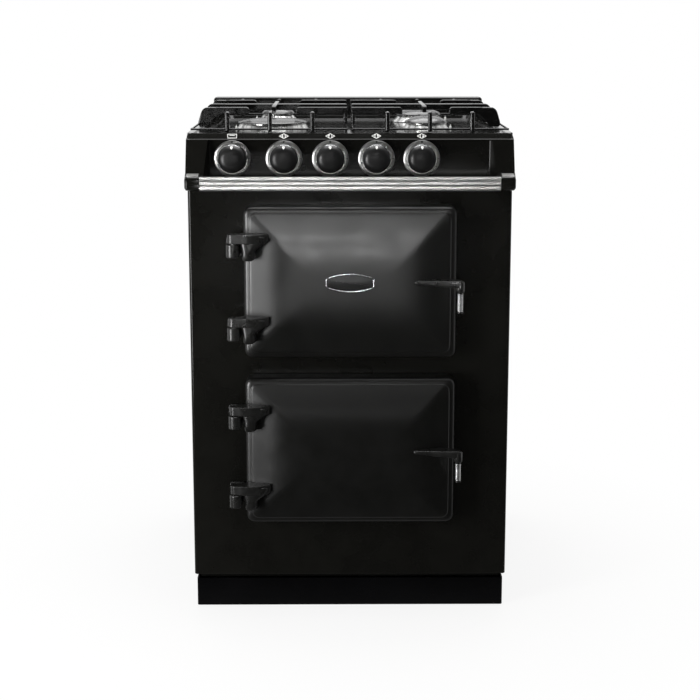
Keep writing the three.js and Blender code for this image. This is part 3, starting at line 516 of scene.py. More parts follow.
knobBlack = plainFinish("knob black", {
    "shine": 0.3, "roughness": (0.3, 0.4), "patch": 14, "grain": (0.8, 0.008),
    "dark": (0.0055, 0.0055, 0.0055), "light": (0.0085, 0.0085, 0.0085),
})
hardPlastic = plainFinish("hard plastic", {
    "shine": 0.4, "roughness": (0.45, 0.6), "patch": 10, "grain": (0.6, 0.03),
    "dark": (0.012, 0.012, 0.012), "light": (0.02, 0.02, 0.02),
})
markWhite = plainFinish("fired white", {
    "shine": 0.4, "roughness": (0.3, 0.42), "patch": 5, "grain": (0.5, 0.01),
    "dark": (0.66, 0.66, 0.64), "light": (0.78, 0.78, 0.76),
})
markBlack = plainFinish("fired black", {
    "shine": 0.4, "roughness": (0.35, 0.5), "patch": 5, "grain": (0.5, 0.01),
    "dark": (0.006, 0.006, 0.006), "light": (0.011, 0.011, 0.011),
})
ropeGrey = plainFinish("glass rope", {
    "shine": 0.2, "roughness": (0.8, 0.95), "patch": 8, "grain": (1.1, 0.5), "stretch": (1, 2, 2),
    "dark": (0.1, 0.1, 0.095), "light": (0.26, 0.26, 0.25),
})
woolYellow = plainFinish("mineral wool", {
    "shine": 0.1, "roughness": (0.9, 1.0), "patch": 20, "grain": (2.5, 1.5),
    "dark": (0.3, 0.26, 0.15), "light": (0.52, 0.46, 0.3),
})
print("all finishes made")


def addScrew(place, radius):  # a pan head with a cross in it, facing the rear
    head = [(0, -0.2), (radius, -0.2), (radius, 0.3 * radius), (0.8 * radius, 0.55 * radius),
            (0.4 * radius, 0.66 * radius), (0, 0.7 * radius)]
    screw = addTurned("screw", head, place, 'Y', 20)
    middle = place + Vector((0, 1.35 * radius * mm, 0))
    for wide, tall in ((0.55, 0.13), (0.13, 0.55)):
        reach = Vector((wide, 1, tall)) * radius * mm
        cutOut(screw, addBox("cross", middle - reach, middle + reach))
    return smooth(screw, 30)


# Carcass: the plinth, the front casting and the sheets behind it.
carcass = {
    "plinthWall": 2.5, "plinthDepth": 53, "plinthCorner": 4,
    "castingCorner": 6, "mouthCorner": 10, "mouthLip": 14, "sheet": 2, "flange": 22, "backInset": 20.3,
    "vents": 7, "ventPitch": 60, "ventSize": (40, 8), "ventRows": (560, 800),
    "swages": (-150, 150), "swageHalf": 9, "swageRise": 3.5, "swageRows": ((600, 770), (320, 530)),
    "lid": ((-258, 185), (-162, 275)), "lidRise": 11, "lidScrew": 10,
    "gland": (-210, 150), "inlet": (262, 850), "screwAcross": 284, "screwRows": (110, 330, 480, 700, 870),
}
ovenInside = {}
for name in ("upper", "lower"):
    low, high = measured(name + "_oven_box")
    lip = carcass["mouthLip"]
    ovenInside[name] = ((low[0] + lip, low[1], low[2] + lip), (high[0] - lip, high[1] - 3, high[2] - lip))


def addPlinth():
    plinth = addBlock("plinth_tray", *measured("plinth"), 2, carcass["plinthCorner"])
    openFacing(plinth, 'Z')
    inset(carcass["plinthWall"])
    pull((0, 0, -carcass["plinthDepth"]))
    closeMesh()
    fit(soften(plinth, 0.8), "body", "sheet_enamel", plinthBlack, "plinth")


def addFrontCasting():
    casting = addBlock("front_plate", *measured("front_casting"))
    roundEdges(casting, lambda a, b: near(a.y, front) and near(b.y, front) and near(a.x, b.x),
               carcass["castingCorner"], 5)
    for (left, _, foot), (right, _, top) in ovenInside.values():
        cutOut(casting, addBlock("mouth", (left, -5, foot), (right, 20, top), 1, carcass["mouthCorner"], 6))
    fit(soften(casting, 1.2), "body", "cast_enamel", bodyEnamel, "front_casting")


def addSidePanels():
    (_, start, foot), (wide, rear, top) = measured("side_panel_right")
    sheet = carcass["sheet"]
    inner, turnIn, back = wide - sheet, wide - carcass["flange"], rear - carcass["backInset"]
    plan = [(wide, start), (wide, rear), (inner, rear), (inner, back), (turnIn, back), (turnIn, back - sheet),
            (inner, back - sheet), (inner, start + sheet), (turnIn, start + sheet), (turnIn, start)]
    right = addSlab("side_sheet_right", [at(x, y, foot) for x, y in plan], (0, 0, top - foot))
    for panel, side in ((right, "right"), (mirrorOf(right, "side_sheet_left"), "left")):
        fit(soften(panel, 0.6, 2), "body", "sheet_enamel", sheetEnamel, "side_panel_" + side)


def addBackPanel():
    low, high = measured("back_panel")
    rear = high[1]
    sheet = addBlock("back_sheet", low, high)
    wide, tall = carcass["ventSize"]
    for row in carcass["ventRows"]:
        for count in range(carcass["vents"]):
            left = (count - carcass["vents"] // 2) * carcass["ventPitch"] - wide / 2
            right, top = left + wide, row + tall
            cutOut(sheet, addBlock("vent", (left, low[1] - 5, row), (right, rear + 5, top), 1, tall * 0.49))
    for (across, up), radius in ((carcass["gland"], 9), (carcass["inlet"], 14)):
        bore(sheet, radius, -5, 8, at(across, low[1], up), 'Y', 32)
    parts = [soften(sheet, 0.35, 1)]
    half, rise = carcass["swageHalf"], carcass["swageRise"]
    for across in carcass["swages"]:  # pressed stiffening ribs
        for foot, top in carcass["swageRows"]:
            rib = addBlock("swage", (across - half, rear - 1, foot), (across + half, rear + rise, top), 1, 8)
            parts.append(soften(rib, 2.2))
    (left, foot), (right, top) = carcass["lid"]  # the lid over the terminals
    rise, edge = carcass["lidRise"], carcass["lidScrew"]
    parts.append(soften(addBlock("lid", (left, rear - 1, foot), (right, rear + rise, top), 1, 8), 2.5))
    fit(gather("back_sheet", parts), "body", "sheet_steel", sheetSteel, "back_panel")
    ends, rows = (-carcass["screwAcross"], carcass["screwAcross"]), carcass["screwRows"]
    places = [at(across, rear, row) for row in rows for across in ends]
    lidEnds, lidRows = (left + edge, right - edge), (foot + edge, top - edge)
    places += [at(across, rear + rise, up) for up in lidRows for across in lidEnds]
    screws = spread(addScrew(places[0], 4), [place - places[0] for place in places])
    fit(gather("back_screws", screws), "body", "steel", screwSteel)


def addGland():
    (_, inner, _), (_, outer, _) = measured("cable_gland")
    across, up = carcass["gland"]
    middle, back = at(across, 0, up), measured("back_panel")[1][1] + 0.3
    profile = [(4, inner), (8, inner), (8, back), (12.4, back), (13, back + 0.6), (13, back + 4.4),
               (12.4, back + 5), (9.5, back + 5.4), (9, back + 8), (9, back + 9), (7.6, back + 9.6),
               (7.6, outer - 3), (6.6, outer), (4, outer), (4, inner)]
    gland = addTurned("lead_gland", profile, middle, 'Y', 32)
    flat = addBlock("flat", (across - 8, back - 0.2, up + 11.4), (across + 8, back + 5.2, up + 16))
    for count in range(6):  # flats for a spanner
        cutOut(gland, turnedCopy(flat, "flat", radians(60 * count), middle, 'Y'))
    bpy.data.objects.remove(flat)
    fit(smooth(gland, 30), "body", "plastic", hardPlastic, "cable_gland")


addPlinth()
addFrontCasting()
addSidePanels()
addBackPanel()
addGland()
keep("base_frame", sheetEnamel)
keep("insulation", woolYellow)
print("carcass made")


# Doors: a crowned casting, its two arms, the pressed liner and a rope seal behind.
door = {
    "overlapAcross": 24.5, "overlapUp": 21, "seal": 3, "corner": 14, "supportLine": 32, "wallEnd": 34,
    "backEdge": 3,
    "rings": [(0.7, 38), (2.4, 41), (5, 43), (9.6, 44.2), (10.6, 44.5), (11.5, 46), (12.6, 46.5), (34, 52.6),
              (50, 57.2), (64, 60.4), (80, 62.6), (98, 63.7), (120, 64)],
    "linerInset": 10, "linerBack": 11, "linerSteps": [(24, 0), (29, 4)], "linerScrew": 14, "pocketDepth": 38,
    "ropeInset": 12, "rope": 4.6,
}
hinge = {
    "across": -212.5, "ahead": 65, "armHeight": 17, "barrel": 9.5, "pin": 5,
    "armPlan": [(9, -11.4), (18, -13), (32, -11.5), (45, -8), (57, -2), (63, 2), (64.5, 5), (64, 9), (29, 23),
                (18, 20), (10, 9.5)],
    "lobePlan": [(14, -4), (19, -8), (29, -9), (39, -5), (40, 18), (16, 18)], "lobeStart": (-4, 2.1, 1.0),
    "lobeSteps": [(-8, 2.05, 1.0), (-16, 1.9, 1.0), (-22, 1.6, 1.0), (-27, 1.16, 1.0), (-33, 0.92, 1.0),
                  (-40, 1.0, 0.98), (-46, 0.97, 0.9), (-50, 0.66, 0.7)],
    "lobeMiddle": (17, 8), "lobeLean": 0.14,
    "lug": 12, "lugHeight": 25, "foot": 15.5, "footDepth": 7,
}


def doorEnds(oven):  # half width, half height and the middle's height
    (_, _, foot), (right, _, top) = ovenInside[oven]
    return right + door["overlapAcross"], (top - foot) / 2 + door["overlapUp"], (top + foot) / 2


def drawIn(wide, tall, before, edge, middle):  # from one distance off a door's edge to the next
    scale(((wide - edge) / (wide - before), 1, (tall - edge) / (tall - before)), middle)


def addDoorCasting(oven):
    wide, tall, middle = doorEnds(oven)
    wall, seal = -door["wallEnd"], -door["seal"]
    shell = addBlock(oven + "_door_front", (-wide, wall, middle - tall), (wide, seal, middle + tall), 1,
                     door["corner"])
    across, up = wide - door["supportLine"], tall - door["supportLine"]
    openMesh(shell)
    lines = [('X', (-across, -20, middle)), ('X', (across, -20, middle)), ('Z', (0, -20, middle - up)),
             ('Z', (0, -20, middle + up)), ('Y', (0, seal - 2.5, middle)), ('Y', (0, wall + 6, middle))]
    for axis, place in lines:  # they hold the walls and the rim when the casting is made round
        bpy.ops.mesh.select_all(action='SELECT')
        bpy.ops.mesh.bisect(plane_co=at(*place), plane_no=directions[axis])
    openFacing(shell, '-Y')
    before, out = 0, door["wallEnd"]
    for edge, reach in door["rings"]:
        pull((0, out - reach, 0))
        drawIn(wide, tall, before, edge, at(0, -reach, middle))
        before, out = edge, reach
    openFacing(shell, 'Y')
    pull((0, 0, 0))
    drawIn(wide, tall, 0, door["backEdge"], at(0, seal, middle))
    closeMesh()
    rounder(shell)
    return shell


def addDoorArm(name, top):
    across, ahead = hinge["across"], -hinge["ahead"]
    turns = [radians(turn) for turn in range(0, 181, 15)]
    plan = [(-hinge["barrel"] * sin(turn), hinge["barrel"] * cos(turn)) for turn in turns] + hinge["armPlan"]
    foot = top - hinge["armHeight"]
    arm = addSlab(name, [at(across + x, ahead + y, foot) for x, y in plan], (0, 0, hinge["armHeight"]))
    soften(arm, 3.2, 4, 25)
    (last, wide, deep), (x, y) = hinge["lobeStart"], hinge["lobeMiddle"]
    outline = [at(across + u, ahead + v, top + last) for u, v in hinge["lobePlan"]]
    lobe = addSlab("lobe", outline, (0, 0, 1))
    openFacing(lobe, '-Z')
    scale((wide, 1, 1), at(across + x, ahead, top + last))
    for drop, nextWide, nextDeep in hinge["lobeSteps"]:
        pull((0, 0, drop - last))
        middle = at(across + x - drop * hinge["lobeLean"], ahead + y, top + drop)
        scale((nextWide / wide, nextDeep / deep, 1), middle)
        last, wide, deep = drop, nextWide, nextDeep
    closeMesh()
    rounder(lobe)
    return gather(name, [arm, lobe])


def addDoor(oven):
    wide, tall, middle = doorEnds(oven)
    leaf, back, depth = oven + "_door_leaf", door["linerBack"], -door["pocketDepth"]
    shell = addDoorCasting(oven)
    half, up = ovenInside[oven][1][0] - door["linerInset"], tall - door["overlapUp"] - door["linerInset"]
    low, high = (-half - 0.5, depth, middle - up - 0.3), (half + 0.5, 5, middle + up + 0.3)
    cutOut(shell, addBlock("pocket", low, high, 1, 8))
    fit(smooth(shell, 40), leaf, "cast_enamel", doorEnamel, oven + "_door")
    for end in ("top", "bottom"):
        arm = addDoorArm(oven + "_arm_" + end, armTops[oven][end])
        fit(arm, leaf, "cast_black", handleBlack, oven + "_door")
    liner = addBlock(oven + "_liner", (-half, depth + 3, middle - up), (half, back, middle + up), 1, 7)
    openFacing(liner, 'Y')
    before = 0
    for edge, sunk in door["linerSteps"]:
        pull((0, -sunk, 0))
        drawIn(half, up, before, edge, at(0, back, middle))
        before = edge
    closeMesh()
    fit(soften(liner, 2, 3, 20), leaf, "sheet_enamel", ovenEnamel, oven + "_door_liner")
    x, z = half - door["linerScrew"], up - door["linerScrew"]
    screw = addScrew(at(-x, back, middle - z), 3.5)
    screws = spread(screw, [(u * mm, 0, v * mm) for u in (0, 2 * x) for v in (0, 2 * z)])
    fit(gather(oven + "_liner_screws", screws), leaf, "steel", screwSteel)
    x, z = wide - door["ropeInset"], tall - door["ropeInset"] + 1.5
    behind = -door["rope"] / 2 - 0.3
    corners = [at(u, behind, middle + v) for u, v in ((-x, -z), (x, -z), (x, z), (-x, z))]
    fit(addWire(oven + "_rope_seal", corners, door["rope"], 12, closed=True), leaf, "wool", ropeGrey)


def addBracket(oven, end):
    node = oven + "_hinge_bracket_" + end
    low, high = measured(node)
    across, ahead = hinge["across"], -hinge["ahead"]
    reach, half, pin = hinge["lug"], hinge["foot"], hinge["pin"]
    lugTop = armTops[oven][end] - hinge["armHeight"] - 0.6
    plan = [(-reach * cos(radians(turn)), -reach * sin(radians(turn))) for turn in range(0, 181, 15)]
    plan += [(reach, -ahead - 2), (-reach, -ahead - 2)]
    lugFoot = lugTop - hinge["lugHeight"]
    lug = addSlab("lug", [at(across + x, ahead + y, lugFoot) for x, y in plan], (0, 0, hinge["lugHeight"]))
    foot = addBlock("foot", (across - half, -hinge["footDepth"], low[2]),
                    (across + half, high[1], lugTop + 6), 1, 5)
    parts = [soften(lug, 2.6, 3, 25), soften(foot, 1.6)]
    fit(gather(node + "_cast", parts), "body", "cast_black", handleBlack, node)
    profile = [(0, lugTop - 2), (pin, lugTop - 2), (pin, high[2] - 1.2), (pin - 1.2, high[2]), (0, high[2])]
    post = smooth(addTurned(node + "_pin", profile, at(across, ahead, 0), 'Z', 32), 30)
    fit(post, "body", "steel", screwSteel, node)


armTops = {oven: {end: measured(oven + "_hinge_bracket_" + end)[1][2] + 4.6 for end in ("top", "bottom")}
           for oven in ("upper", "lower")}
for name in ("upper", "lower"):
    addDoor(name)
    addBracket(name, "top")
    addBracket(name, "bottom")
print("doors made, arm tops", armTops)


# Handles: a slender cast bar with a round boss, and a sprung coil grip under it. Each section of the bar
# is the distance across, then the depth's two ends and the height's two ends.
handle = {
    "across": 199, "ahead": 75, "boss": 8, "core": 3.4, "button": 5.5,
    "sections": [(-82, (6, 14), (-3, 3.4)), (-72, (4, 17), (-3.6, 4)), (-60, (2, 22), (-4.3, 4.5)),
                 (-49, (0, 25), (-5, 4.9)), (-38, (-2, 25.5), (-5.7, 5.2)), (-29, (-4, 25), (-6.2, 5.4)),
                 (-19, (-6, 21), (-6.9, 5.8)), (-9, (-7.4, 16), (-7.7, 6.2)), (0, (-8, 8), (-8.6, 6.5)),
                 (4, (-6.5, 6.5), (-8.8, 6.3))],
    "turns": 14, "pitch": 2.3, "wire": 0.85, "coil": 4.6, "coilTop": -17.9, "foot": -54,
}


def addDrawn(name, sections, place):  # a bar drawn out across through its sections
    def corner(x, depth, height, end):
        return place + Vector((x, depth[end], height[end])) * mm

    def middle(x, depth, height):
        return place + Vector((x, sum(depth) / 2, sum(height) / 2)) * mm

    last = (sections[1][0], *sections[0][1:])
    bar = addBox(name, corner(*sections[0], 0), corner(*last, 1))
    openFacing(bar, 'X')
    for section in sections[1:]:
        shift = middle(*section) - middle(*last)
        if section == sections[1]:
            bpy.ops.transform.translate(value=shift)
        else:
            bpy.ops.mesh.extrude_region_move(TRANSFORM_OT_translate={"value": shift})
        (depth, height), (lastDepth, lastHeight) = section[1:], last[1:]
        scale((1, (depth[1] - depth[0]) / (lastDepth[1] - lastDepth[0]),
               (height[1] - height[0]) / (lastHeight[1] - lastHeight[0])), middle(*section))
        last = section
    closeMesh()
    return bar


def addHandle(oven):
    node, leaf = oven + "_handle", oven + "_door_leaf"
    place = at(handle["across"], -handle["ahead"], measured(node)[1][2] - 6.5)
    bar = addDrawn("bar", handle["sections"], place)
    change(bar, 'BEVEL', width=2.4 * mm, segments=2, limit_method='ANGLE', angle_limit=radians(50))
    rounder(bar, 1)
    boss, core, button, foot = handle["boss"], handle["core"], handle["button"], handle["foot"]
    profile = [(0, 5.2), (boss * 0.5, 5), (boss - 1.4, 4.2), (boss, 2.4), (boss, -13.6), (boss - 0.9, -15.6),
               (boss - 2.4, -16.5), (core, -16.5), (core, foot + 3), (button - 0.5, foot + 3),
               (button, foot + 2.4), (button, foot + 0.9), (button - 0.9, foot), (0, foot)]
    stem = smooth(addTurned("stem", profile, place, 'Z', 40), 40)
    fit(gather(node + "_cast", [bar, stem]), leaf, "cast_black", handleBlack, node)
    dropSelection()
    bpy.ops.mesh.primitive_circle_add(vertices=10, radius=handle["wire"] * mm, rotation=(pi / 2, 0, 0),
                                      location=(handle["coil"] * mm, 0, 0))
    coil = settle(oven + "_coil_grip")
    change(coil, 'SCREW', axis='Z', angle=2 * pi, screw_offset=-handle["pitch"] * mm,
           iterations=handle["turns"], steps=30, render_steps=30)
    openMesh(coil, 'EDGE')
    bpy.ops.mesh.select_non_manifold()
    bpy.ops.mesh.edge_face_add()
    closeMesh()
    closeSeams(coil)
    take(coil)
    bpy.ops.transform.translate(value=place + Vector((0, 0, handle["coilTop"] * mm)))
    fit(smooth(settle(coil.name), 60), leaf, "chrome", gripChrome, node + "_coil")


# The plain oval plate on the upper door: bowed above and below, straight at its ends, chrome round black.
plate = {
    "endHalf": 8.5, "steps": 14, "corner": 3, "rim": 1.7, "sunk": 1.1, "pillow": (3, 0.35), "softEdge": 0.5,
}


def addPlate():
    low, high = measured("badge_plate")
    half, tall = (high[0] - low[0]) / 2, (high[2] - low[2]) / 2
    across, up = (high[0] + low[0]) / 2, (high[2] + low[2]) / 2
    bow = [half * (1 - 2 * step / plate["steps"]) for step in range(plate["steps"] + 1)]
    upper = [(x, tall - (tall - plate["endHalf"]) * (x / half) ** 2) for x in bow]
    outline = upper + [(-x, -z) for x, z in upper]
    corners = [at(across + x, high[1], up + z) for x, z in outline]
    rim = addSlab("plate_rim", corners, (0, low[1] - high[1], 0))
    roundEdges(rim, lambda a, b: near(a.x, b.x) and near(a.z, b.z)
               and near(abs(a.x - across * mm), half * mm), plate["corner"])
    openFacing(rim, '-Y')
    inset(plate["rim"])
    pull((0, plate["sunk"], 0))
    bpy.ops.mesh.duplicate()
    bpy.ops.mesh.separate(type='SELECTED')
    closeMesh()
    face = [piece for piece in bpy.context.selected_objects if piece != rim][0]
    face.name = "plate_face"
    edge, rise = plate["pillow"]
    openMesh(face, start='SELECT')
    bpy.ops.transform.translate(value=(0, -0.03 * mm, 0))
    inset(edge)
    bpy.ops.transform.translate(value=(0, -rise * mm, 0))
    closeMesh()
    fit(soften(rim, plate["softEdge"]), "upper_door_leaf", "chrome", chrome, "badge_plate")
    fit(smooth(face, 40), "upper_door_leaf", "cast_black", knobBlack, "badge_plate")


addHandle("upper")
addHandle("lower")
addPlate()
print("handles and plate made")


# Fascia: leaning cheeks round a recessed panel, with a white sign over each knob.
fascia = {
    "foot": -34, "shelf": 832, "top": 911.7, "back": 11.7, "ledge": (-7.4, 900.6), "lean": (-3.2, 901.9),
    "brow": (2.8, 911), "crown": 7, "recess": 257, "recessRound": 3, "flare": 10.8, "flareReach": 42,
    "ceiling": 899.9, "endCorner": 8, "softEdge": 0.7, "knobHole": 6,
    "signHeight": 9.8, "ovenSignHeight": 7.8, "signWidth": 16.2, "line": 1.2, "signThick": 0.14,
}
knobs = ["oven", "front_left", "rear_left", "rear_right", "front_right"]


def knobPlace(knob):  # a knob's middle on the body's front face
    (left, _, foot), (right, _, top) = measured("knob_" + knob)
    return at((left + right) / 2, 0, (foot + top) / 2)


def addFascia():
    look, wide = fascia, measured("fascia")[1][0]
    shelf, back, lean = look["shelf"], look["back"], look["lean"]
    profile = [(back, shelf), (look["foot"], shelf), (look["foot"], shelf + 6), look["ledge"], lean,
               look["brow"], (look["crown"], look["top"]), (back, look["top"])]
    block = addSlab("fascia_casting", [at(-wide, y, z) for y, z in profile], (2 * wide, 0, 0))
    roundEdges(block, lambda a, b: near(abs(a.x), wide * mm) and near(a.x, b.x)
               and min(a.z, b.z) > (lean[1] - 1) * mm and max(a.y, b.y) < front + (back + 1) * mm
               and not (near(a.y, b.y) and near(a.y, front + back * mm)), look["endCorner"], 5)
    # The recess is cut by a block that flares on past the front.
    inner, outer, reach = look["recess"], look["recess"] + look["flare"] * 1.2, look["flareReach"] * 1.2
    plan = [(-inner, 0), (inner, 0), (outer, -reach), (-outer, -reach)]
    recess = addSlab("recess", [at(x, y, shelf - 10) for x, y in plan], (0, 0, look["ceiling"] - shelf + 10))
    roundEdges(recess, lambda a, b: near(a.z, b.z) and a.z > shelf * mm and max(a.y, b.y) > front - 1 * mm
               or (not near(a.y, b.y, 10) and near(a.z, b.z) and a.z > shelf * mm)
               or (not near(a.z, b.z) and a.y > front - 1 * mm), look["recessRound"])
    cutOut(block, recess)
    for knob in knobs:
        bore(block, look["knobHole"], -5, 20, knobPlace(knob), 'Y', 24)
    fit(soften(block, look["softEdge"], 3, 15), "body", "cast_enamel", bodyEnamel, "fascia")


def addStrokes(name, lines, dots, across):  # a sign in white strokes on the leaning band
    foot, head = Vector((0, *fascia["lean"])), Vector((0, *fascia["brow"]))
    slope = (head - foot).normalized()
    out = Vector((0, -slope.z, slope.y))
    middle = (foot + head) / 2 + out * 0.02
    middle = at(across, middle.y, middle.z)
    half, thick = fascia["line"] / 2, fascia["signThick"]
    parts = []

    def addFlat(kind, outline, rise):
        corners = [middle + Vector((u, 0, 0)) * mm + slope * v * mm for u, v in outline]
        parts.append(addSlab(kind, corners, out * rise))

    for start, end in lines:
        start, end = Vector(start), Vector(end)
        run = (end - start).normalized() * half
        side = Vector((-run.y, run.x))
        start, end = start - run, end + run
        addFlat("stroke", [start + side, end + side, end - side, start - side], thick)
    for u, v, radius in dots:
        turns = [radians(45 * turn) for turn in range(8)]
        addFlat("dot", [(u + radius * cos(turn), v + radius * sin(turn)) for turn in turns], thick + 0.03)
    fit(gather(name, parts), "body", "plastic", markWhite)


def addSigns():  # a rectangle for the oven, and a diamond with its own dot larger for each burner
    w, h, low = fascia["signWidth"] / 2, fascia["signHeight"] / 2, fascia["ovenSignHeight"] / 2
    box, diamond = [(-w, -low), (w, -low), (w, low), (-w, low)], [(-w, 0), (0, -h), (w, 0), (0, h)]
    boxLines, diamondLines = [list(zip(shape, shape[1:] + shape[:1])) for shape in (box, diamond)]
    boxLines.append(((-w * 0.55, low * 0.35), (w * 0.55, low * 0.35)))
    sides = {"left": -0.33 * w, "right": 0.33 * w, "front": -0.36 * h, "rear": 0.36 * h}
    for knob in knobs:
        if knob == "oven":
            lines, dots = boxLines, []
        else:
            lines, dots = diamondLines, []
            for other in knobs[1:]:
                row, column = other.split("_")
                dots.append((sides[column], sides[row], 1.8 if other == knob else 1.2))
        addStrokes("sign_" + knob, lines, dots, knobPlace(knob).x / mm)


# Knobs: a domed black cap with a chrome band and a pointer, on a brushed dial ring, as (radius, out).
knobLook = {
    "cap": [(0, 6.8), (23.6, 6.8), (25.2, 7.4), (25.5, 8.6), (25.5, 18.6), (25.0, 20.6), (23.6, 22.8),
            (21.8, 24.9), (19.4, 26.7), (16.4, 28.2), (12.4, 29.2), (7, 29.85), (0, 30)],
    "band": [(24.6, 16), (25.55, 16), (25.8, 16.4), (25.8, 17.1), (25.55, 17.5), (24.6, 17.5), (24.6, 16)],
    "spindle": [(0, -29.5), (3.4, -29.5), (4, -29), (4, 7), (0, 7)],
    "dial": [(4.3, 4.2), (31.6, 4.2), (32.9, 4.7), (33.5, 5.8), (33.3, 7.2), (32.6, 8), (31.2, 8.6),
             (28.9, 8.9), (28.3, 8.4), (28.3, 5.4), (4.3, 5.4), (4.3, 4.2)],
    "pointer": [(-2.1, 23.6), (2.1, 23.6), (2.1, 20.6), (0, 18.2), (-2.1, 20.6)], "pointerOut": (20, 28.3),
    "pointerDrops": {23.6: 4.6, 20.6: 1.9, 18.2: 0.5},
    "dot": 2.0, "markReach": 30.6, "tick": (0.9, 3.2), "ticks": (0, -28, -42, -56, -70),
}


def addKnob(knob):
    look, middle = knobLook, knobPlace(knob)
    body = "oven_control" if knob == "oven" else "control_" + knob
    # The dial's finish carries a painted highlight in a cross of lighter sectors.
    ringWithPaintedGlints = ringFinish("brushed dial " + knob, middle)
    for kind, steps, angle, slot, finish, nodes in (
            ("cap", 64, 50, "plastic", knobBlack, ["knob_" + knob]),
            ("spindle", 24, 30, "steel", screwSteel, ["knob_" + knob]),
            ("band", 64, 50, "chrome", chrome, []),
            ("dial", 72, 40, "steel", ringWithPaintedGlints, ["dial_ring_" + knob])):
        name = kind if kind == "dial" else "knob_" + kind
        piece = addTurned(name + "_" + knob, look[kind], middle, '-Y', steps)
        fit(smooth(piece, angle), body, slot, finish, *nodes)
    root, tip = look["pointerOut"]
    outline = [middle + Vector((x, -root, z)) * mm for x, z in look["pointer"]]
    pointer = addSlab("knob_pointer_" + knob, outline, (0, root - tip, 0))
    openMesh(pointer)
    for up, drop in look["pointerDrops"].items():  # its face follows the dome
        pickPoints(pointer, lambda place: near(place.z, middle.z + up * mm) and place.y < middle.y - 25 * mm)
        bpy.ops.transform.translate(value=(0, drop * mm, 0))
    closeMesh()
    fit(pointer, body, "plastic", markWhite)
    size, reach, (wide, long) = look["dot"], look["markReach"], look["tick"]
    dot = [(0, 8.2), (size, 8.2), (size * 0.92, 8.95), (0, 9)]
    marks = [addTurned("dot", dot, middle + Vector((0, 0, reach * mm)), '-Y', 16)]
    tick = addBox("tick", middle + Vector((reach - long / 2, -8.95, -wide / 2)) * mm,
                  middle + Vector((reach + long / 2, -8.1, wide / 2)) * mm)
    marks += [turnedCopy(tick, "tick", radians(turn), middle, 'Y') for turn in look["ticks"]]
    bpy.data.objects.remove(tick)
    fit(gather("dial_marks_" + knob, marks), body, "plastic", markBlack)


addFascia()
addSigns()
for knob in knobs:
    addKnob(knob)
print("fascia and knobs made")


# Towel rail: a drawn bar with three rounded bands, held by a black block at each end.
rail = {
    "front": -60, "back": -45, "low": 812, "high": 837, "groove": 1.4, "crown": 0.4, "steps": 5,
    "bands": [(812.5, 819.4), (821.0, 827.0), (829.4, 836.5)],
    "softEdge": 2.2, "blockCorner": 6, "nose": [(-58, 836), (-54, 838.2)], "seat": (-34.4, 831.7),
    "plateTop": [(-54, 838.35), (-36.2, 841.85)], "plateInset": 2.6,
}


def addRail():
    low, high = measured("towel_rail")
    back, groove = rail["back"], rail["front"] + rail["groove"]
    section = [(back, rail["low"] + 2), (back - 2, rail["low"])]
    for foot, top in rail["bands"]:
        section.append((groove, foot - 0.3))
        for step in range(rail["steps"] + 1):
            share = 2 * step / rail["steps"] - 1
            up = foot + (top - foot) * (share + 1) / 2
            section.append((rail["front"] + rail["crown"] * share ** 4, up))
        section.append((groove, top + 0.3))
    section += [(back - 2, rail["high"]), (back, rail["high"] - 2)]
    bar = addSlab("rail_bar", [at(low[0], y, z) for y, z in section], (high[0] - low[0], 0, 0))
    fit(smooth(bar, 40), "body", "steel", railSteel, "towel_rail")


def fitBothEnds(name, right, slot, finish, *nodes):  # a piece at the right and its mirror image
    left = smooth(mirrorOf(right, name + "_left"), 30)
    for side, piece in (("_right", right), ("_left", left)):
        fit(piece, "body", slot, finish, *[node + side for node in nodes])


def addRailBlocks():  # the blocks, and satin plates let into their sloping tops
    low, high = measured("rail_bracket_right")
    (seatBack, seatUp), foot = rail["seat"], low[2]
    profile = [(high[1], foot), (-52, foot), (-57, foot + 1.5), (low[1], foot + 5), (low[1], 832),
               *rail["nose"], (seatBack, high[2]), (seatBack, seatUp), (high[1], seatUp)]
    block = addSlab("rail_block_right", [at(low[0], y, z) for y, z in profile], (high[0] - low[0], 0, 0))
    roundEdges(block, lambda a, b: near(a.x, high[0] * mm) and near(b.x, high[0] * mm)
               and min(a.y, b.y) < front - 50 * mm and max(a.y, b.y) < front - 40 * mm, rail["blockCorner"])
    soften(block, rail["softEdge"], 3, 28)
    fitBothEnds("rail_block", block, "cast_black", bodyEnamel, "rail_bracket")
    edge, upper = rail["plateInset"], rail["plateTop"]
    profile = upper + [(y, z - 1) for y, z in reversed(upper)]
    outline = [at(low[0] + edge, y, z) for y, z in profile]
    strip = addSlab("rail_plate_right", outline, (high[0] - low[0] - 2.2 * edge, 0, 0))
    fitBothEnds("rail_plate", soften(strip, 0.25, 2), "steel", railSteel)


addRail()
addRailBlocks()
print("rail made")


# Hob: an enamelled pressing with a shallow well, rolled edges and an upstand at the rear.
hob = {
    "rim": 911.7, "corner": 8, "throat": 20.6,
    "wellHalf": 272, "wellNear": 78, "wellFar": 538, "wellCorner": 22, "wellFloor": 905, "wellSlope": 7,
    "upstandNear": 556, "upstandFar": 592, "upstandHalf": 292, "upstandRoot": 901,
}
burners = {}
for name in knobs[1:]:
    baseLow, baseHigh = measured("burner_base_" + name)
    capLow, capHigh = measured("burner_cap_" + name)
    burners[name] = {"across": (capLow[0] + capHigh[0]) / 2, "back": (capLow[1] + capHigh[1]) / 2,
                     "cap": (capHigh[0] - capLow[0]) / 2, "base": (baseHigh[0] - baseLow[0]) / 2,
                     "top": capHigh[2]}


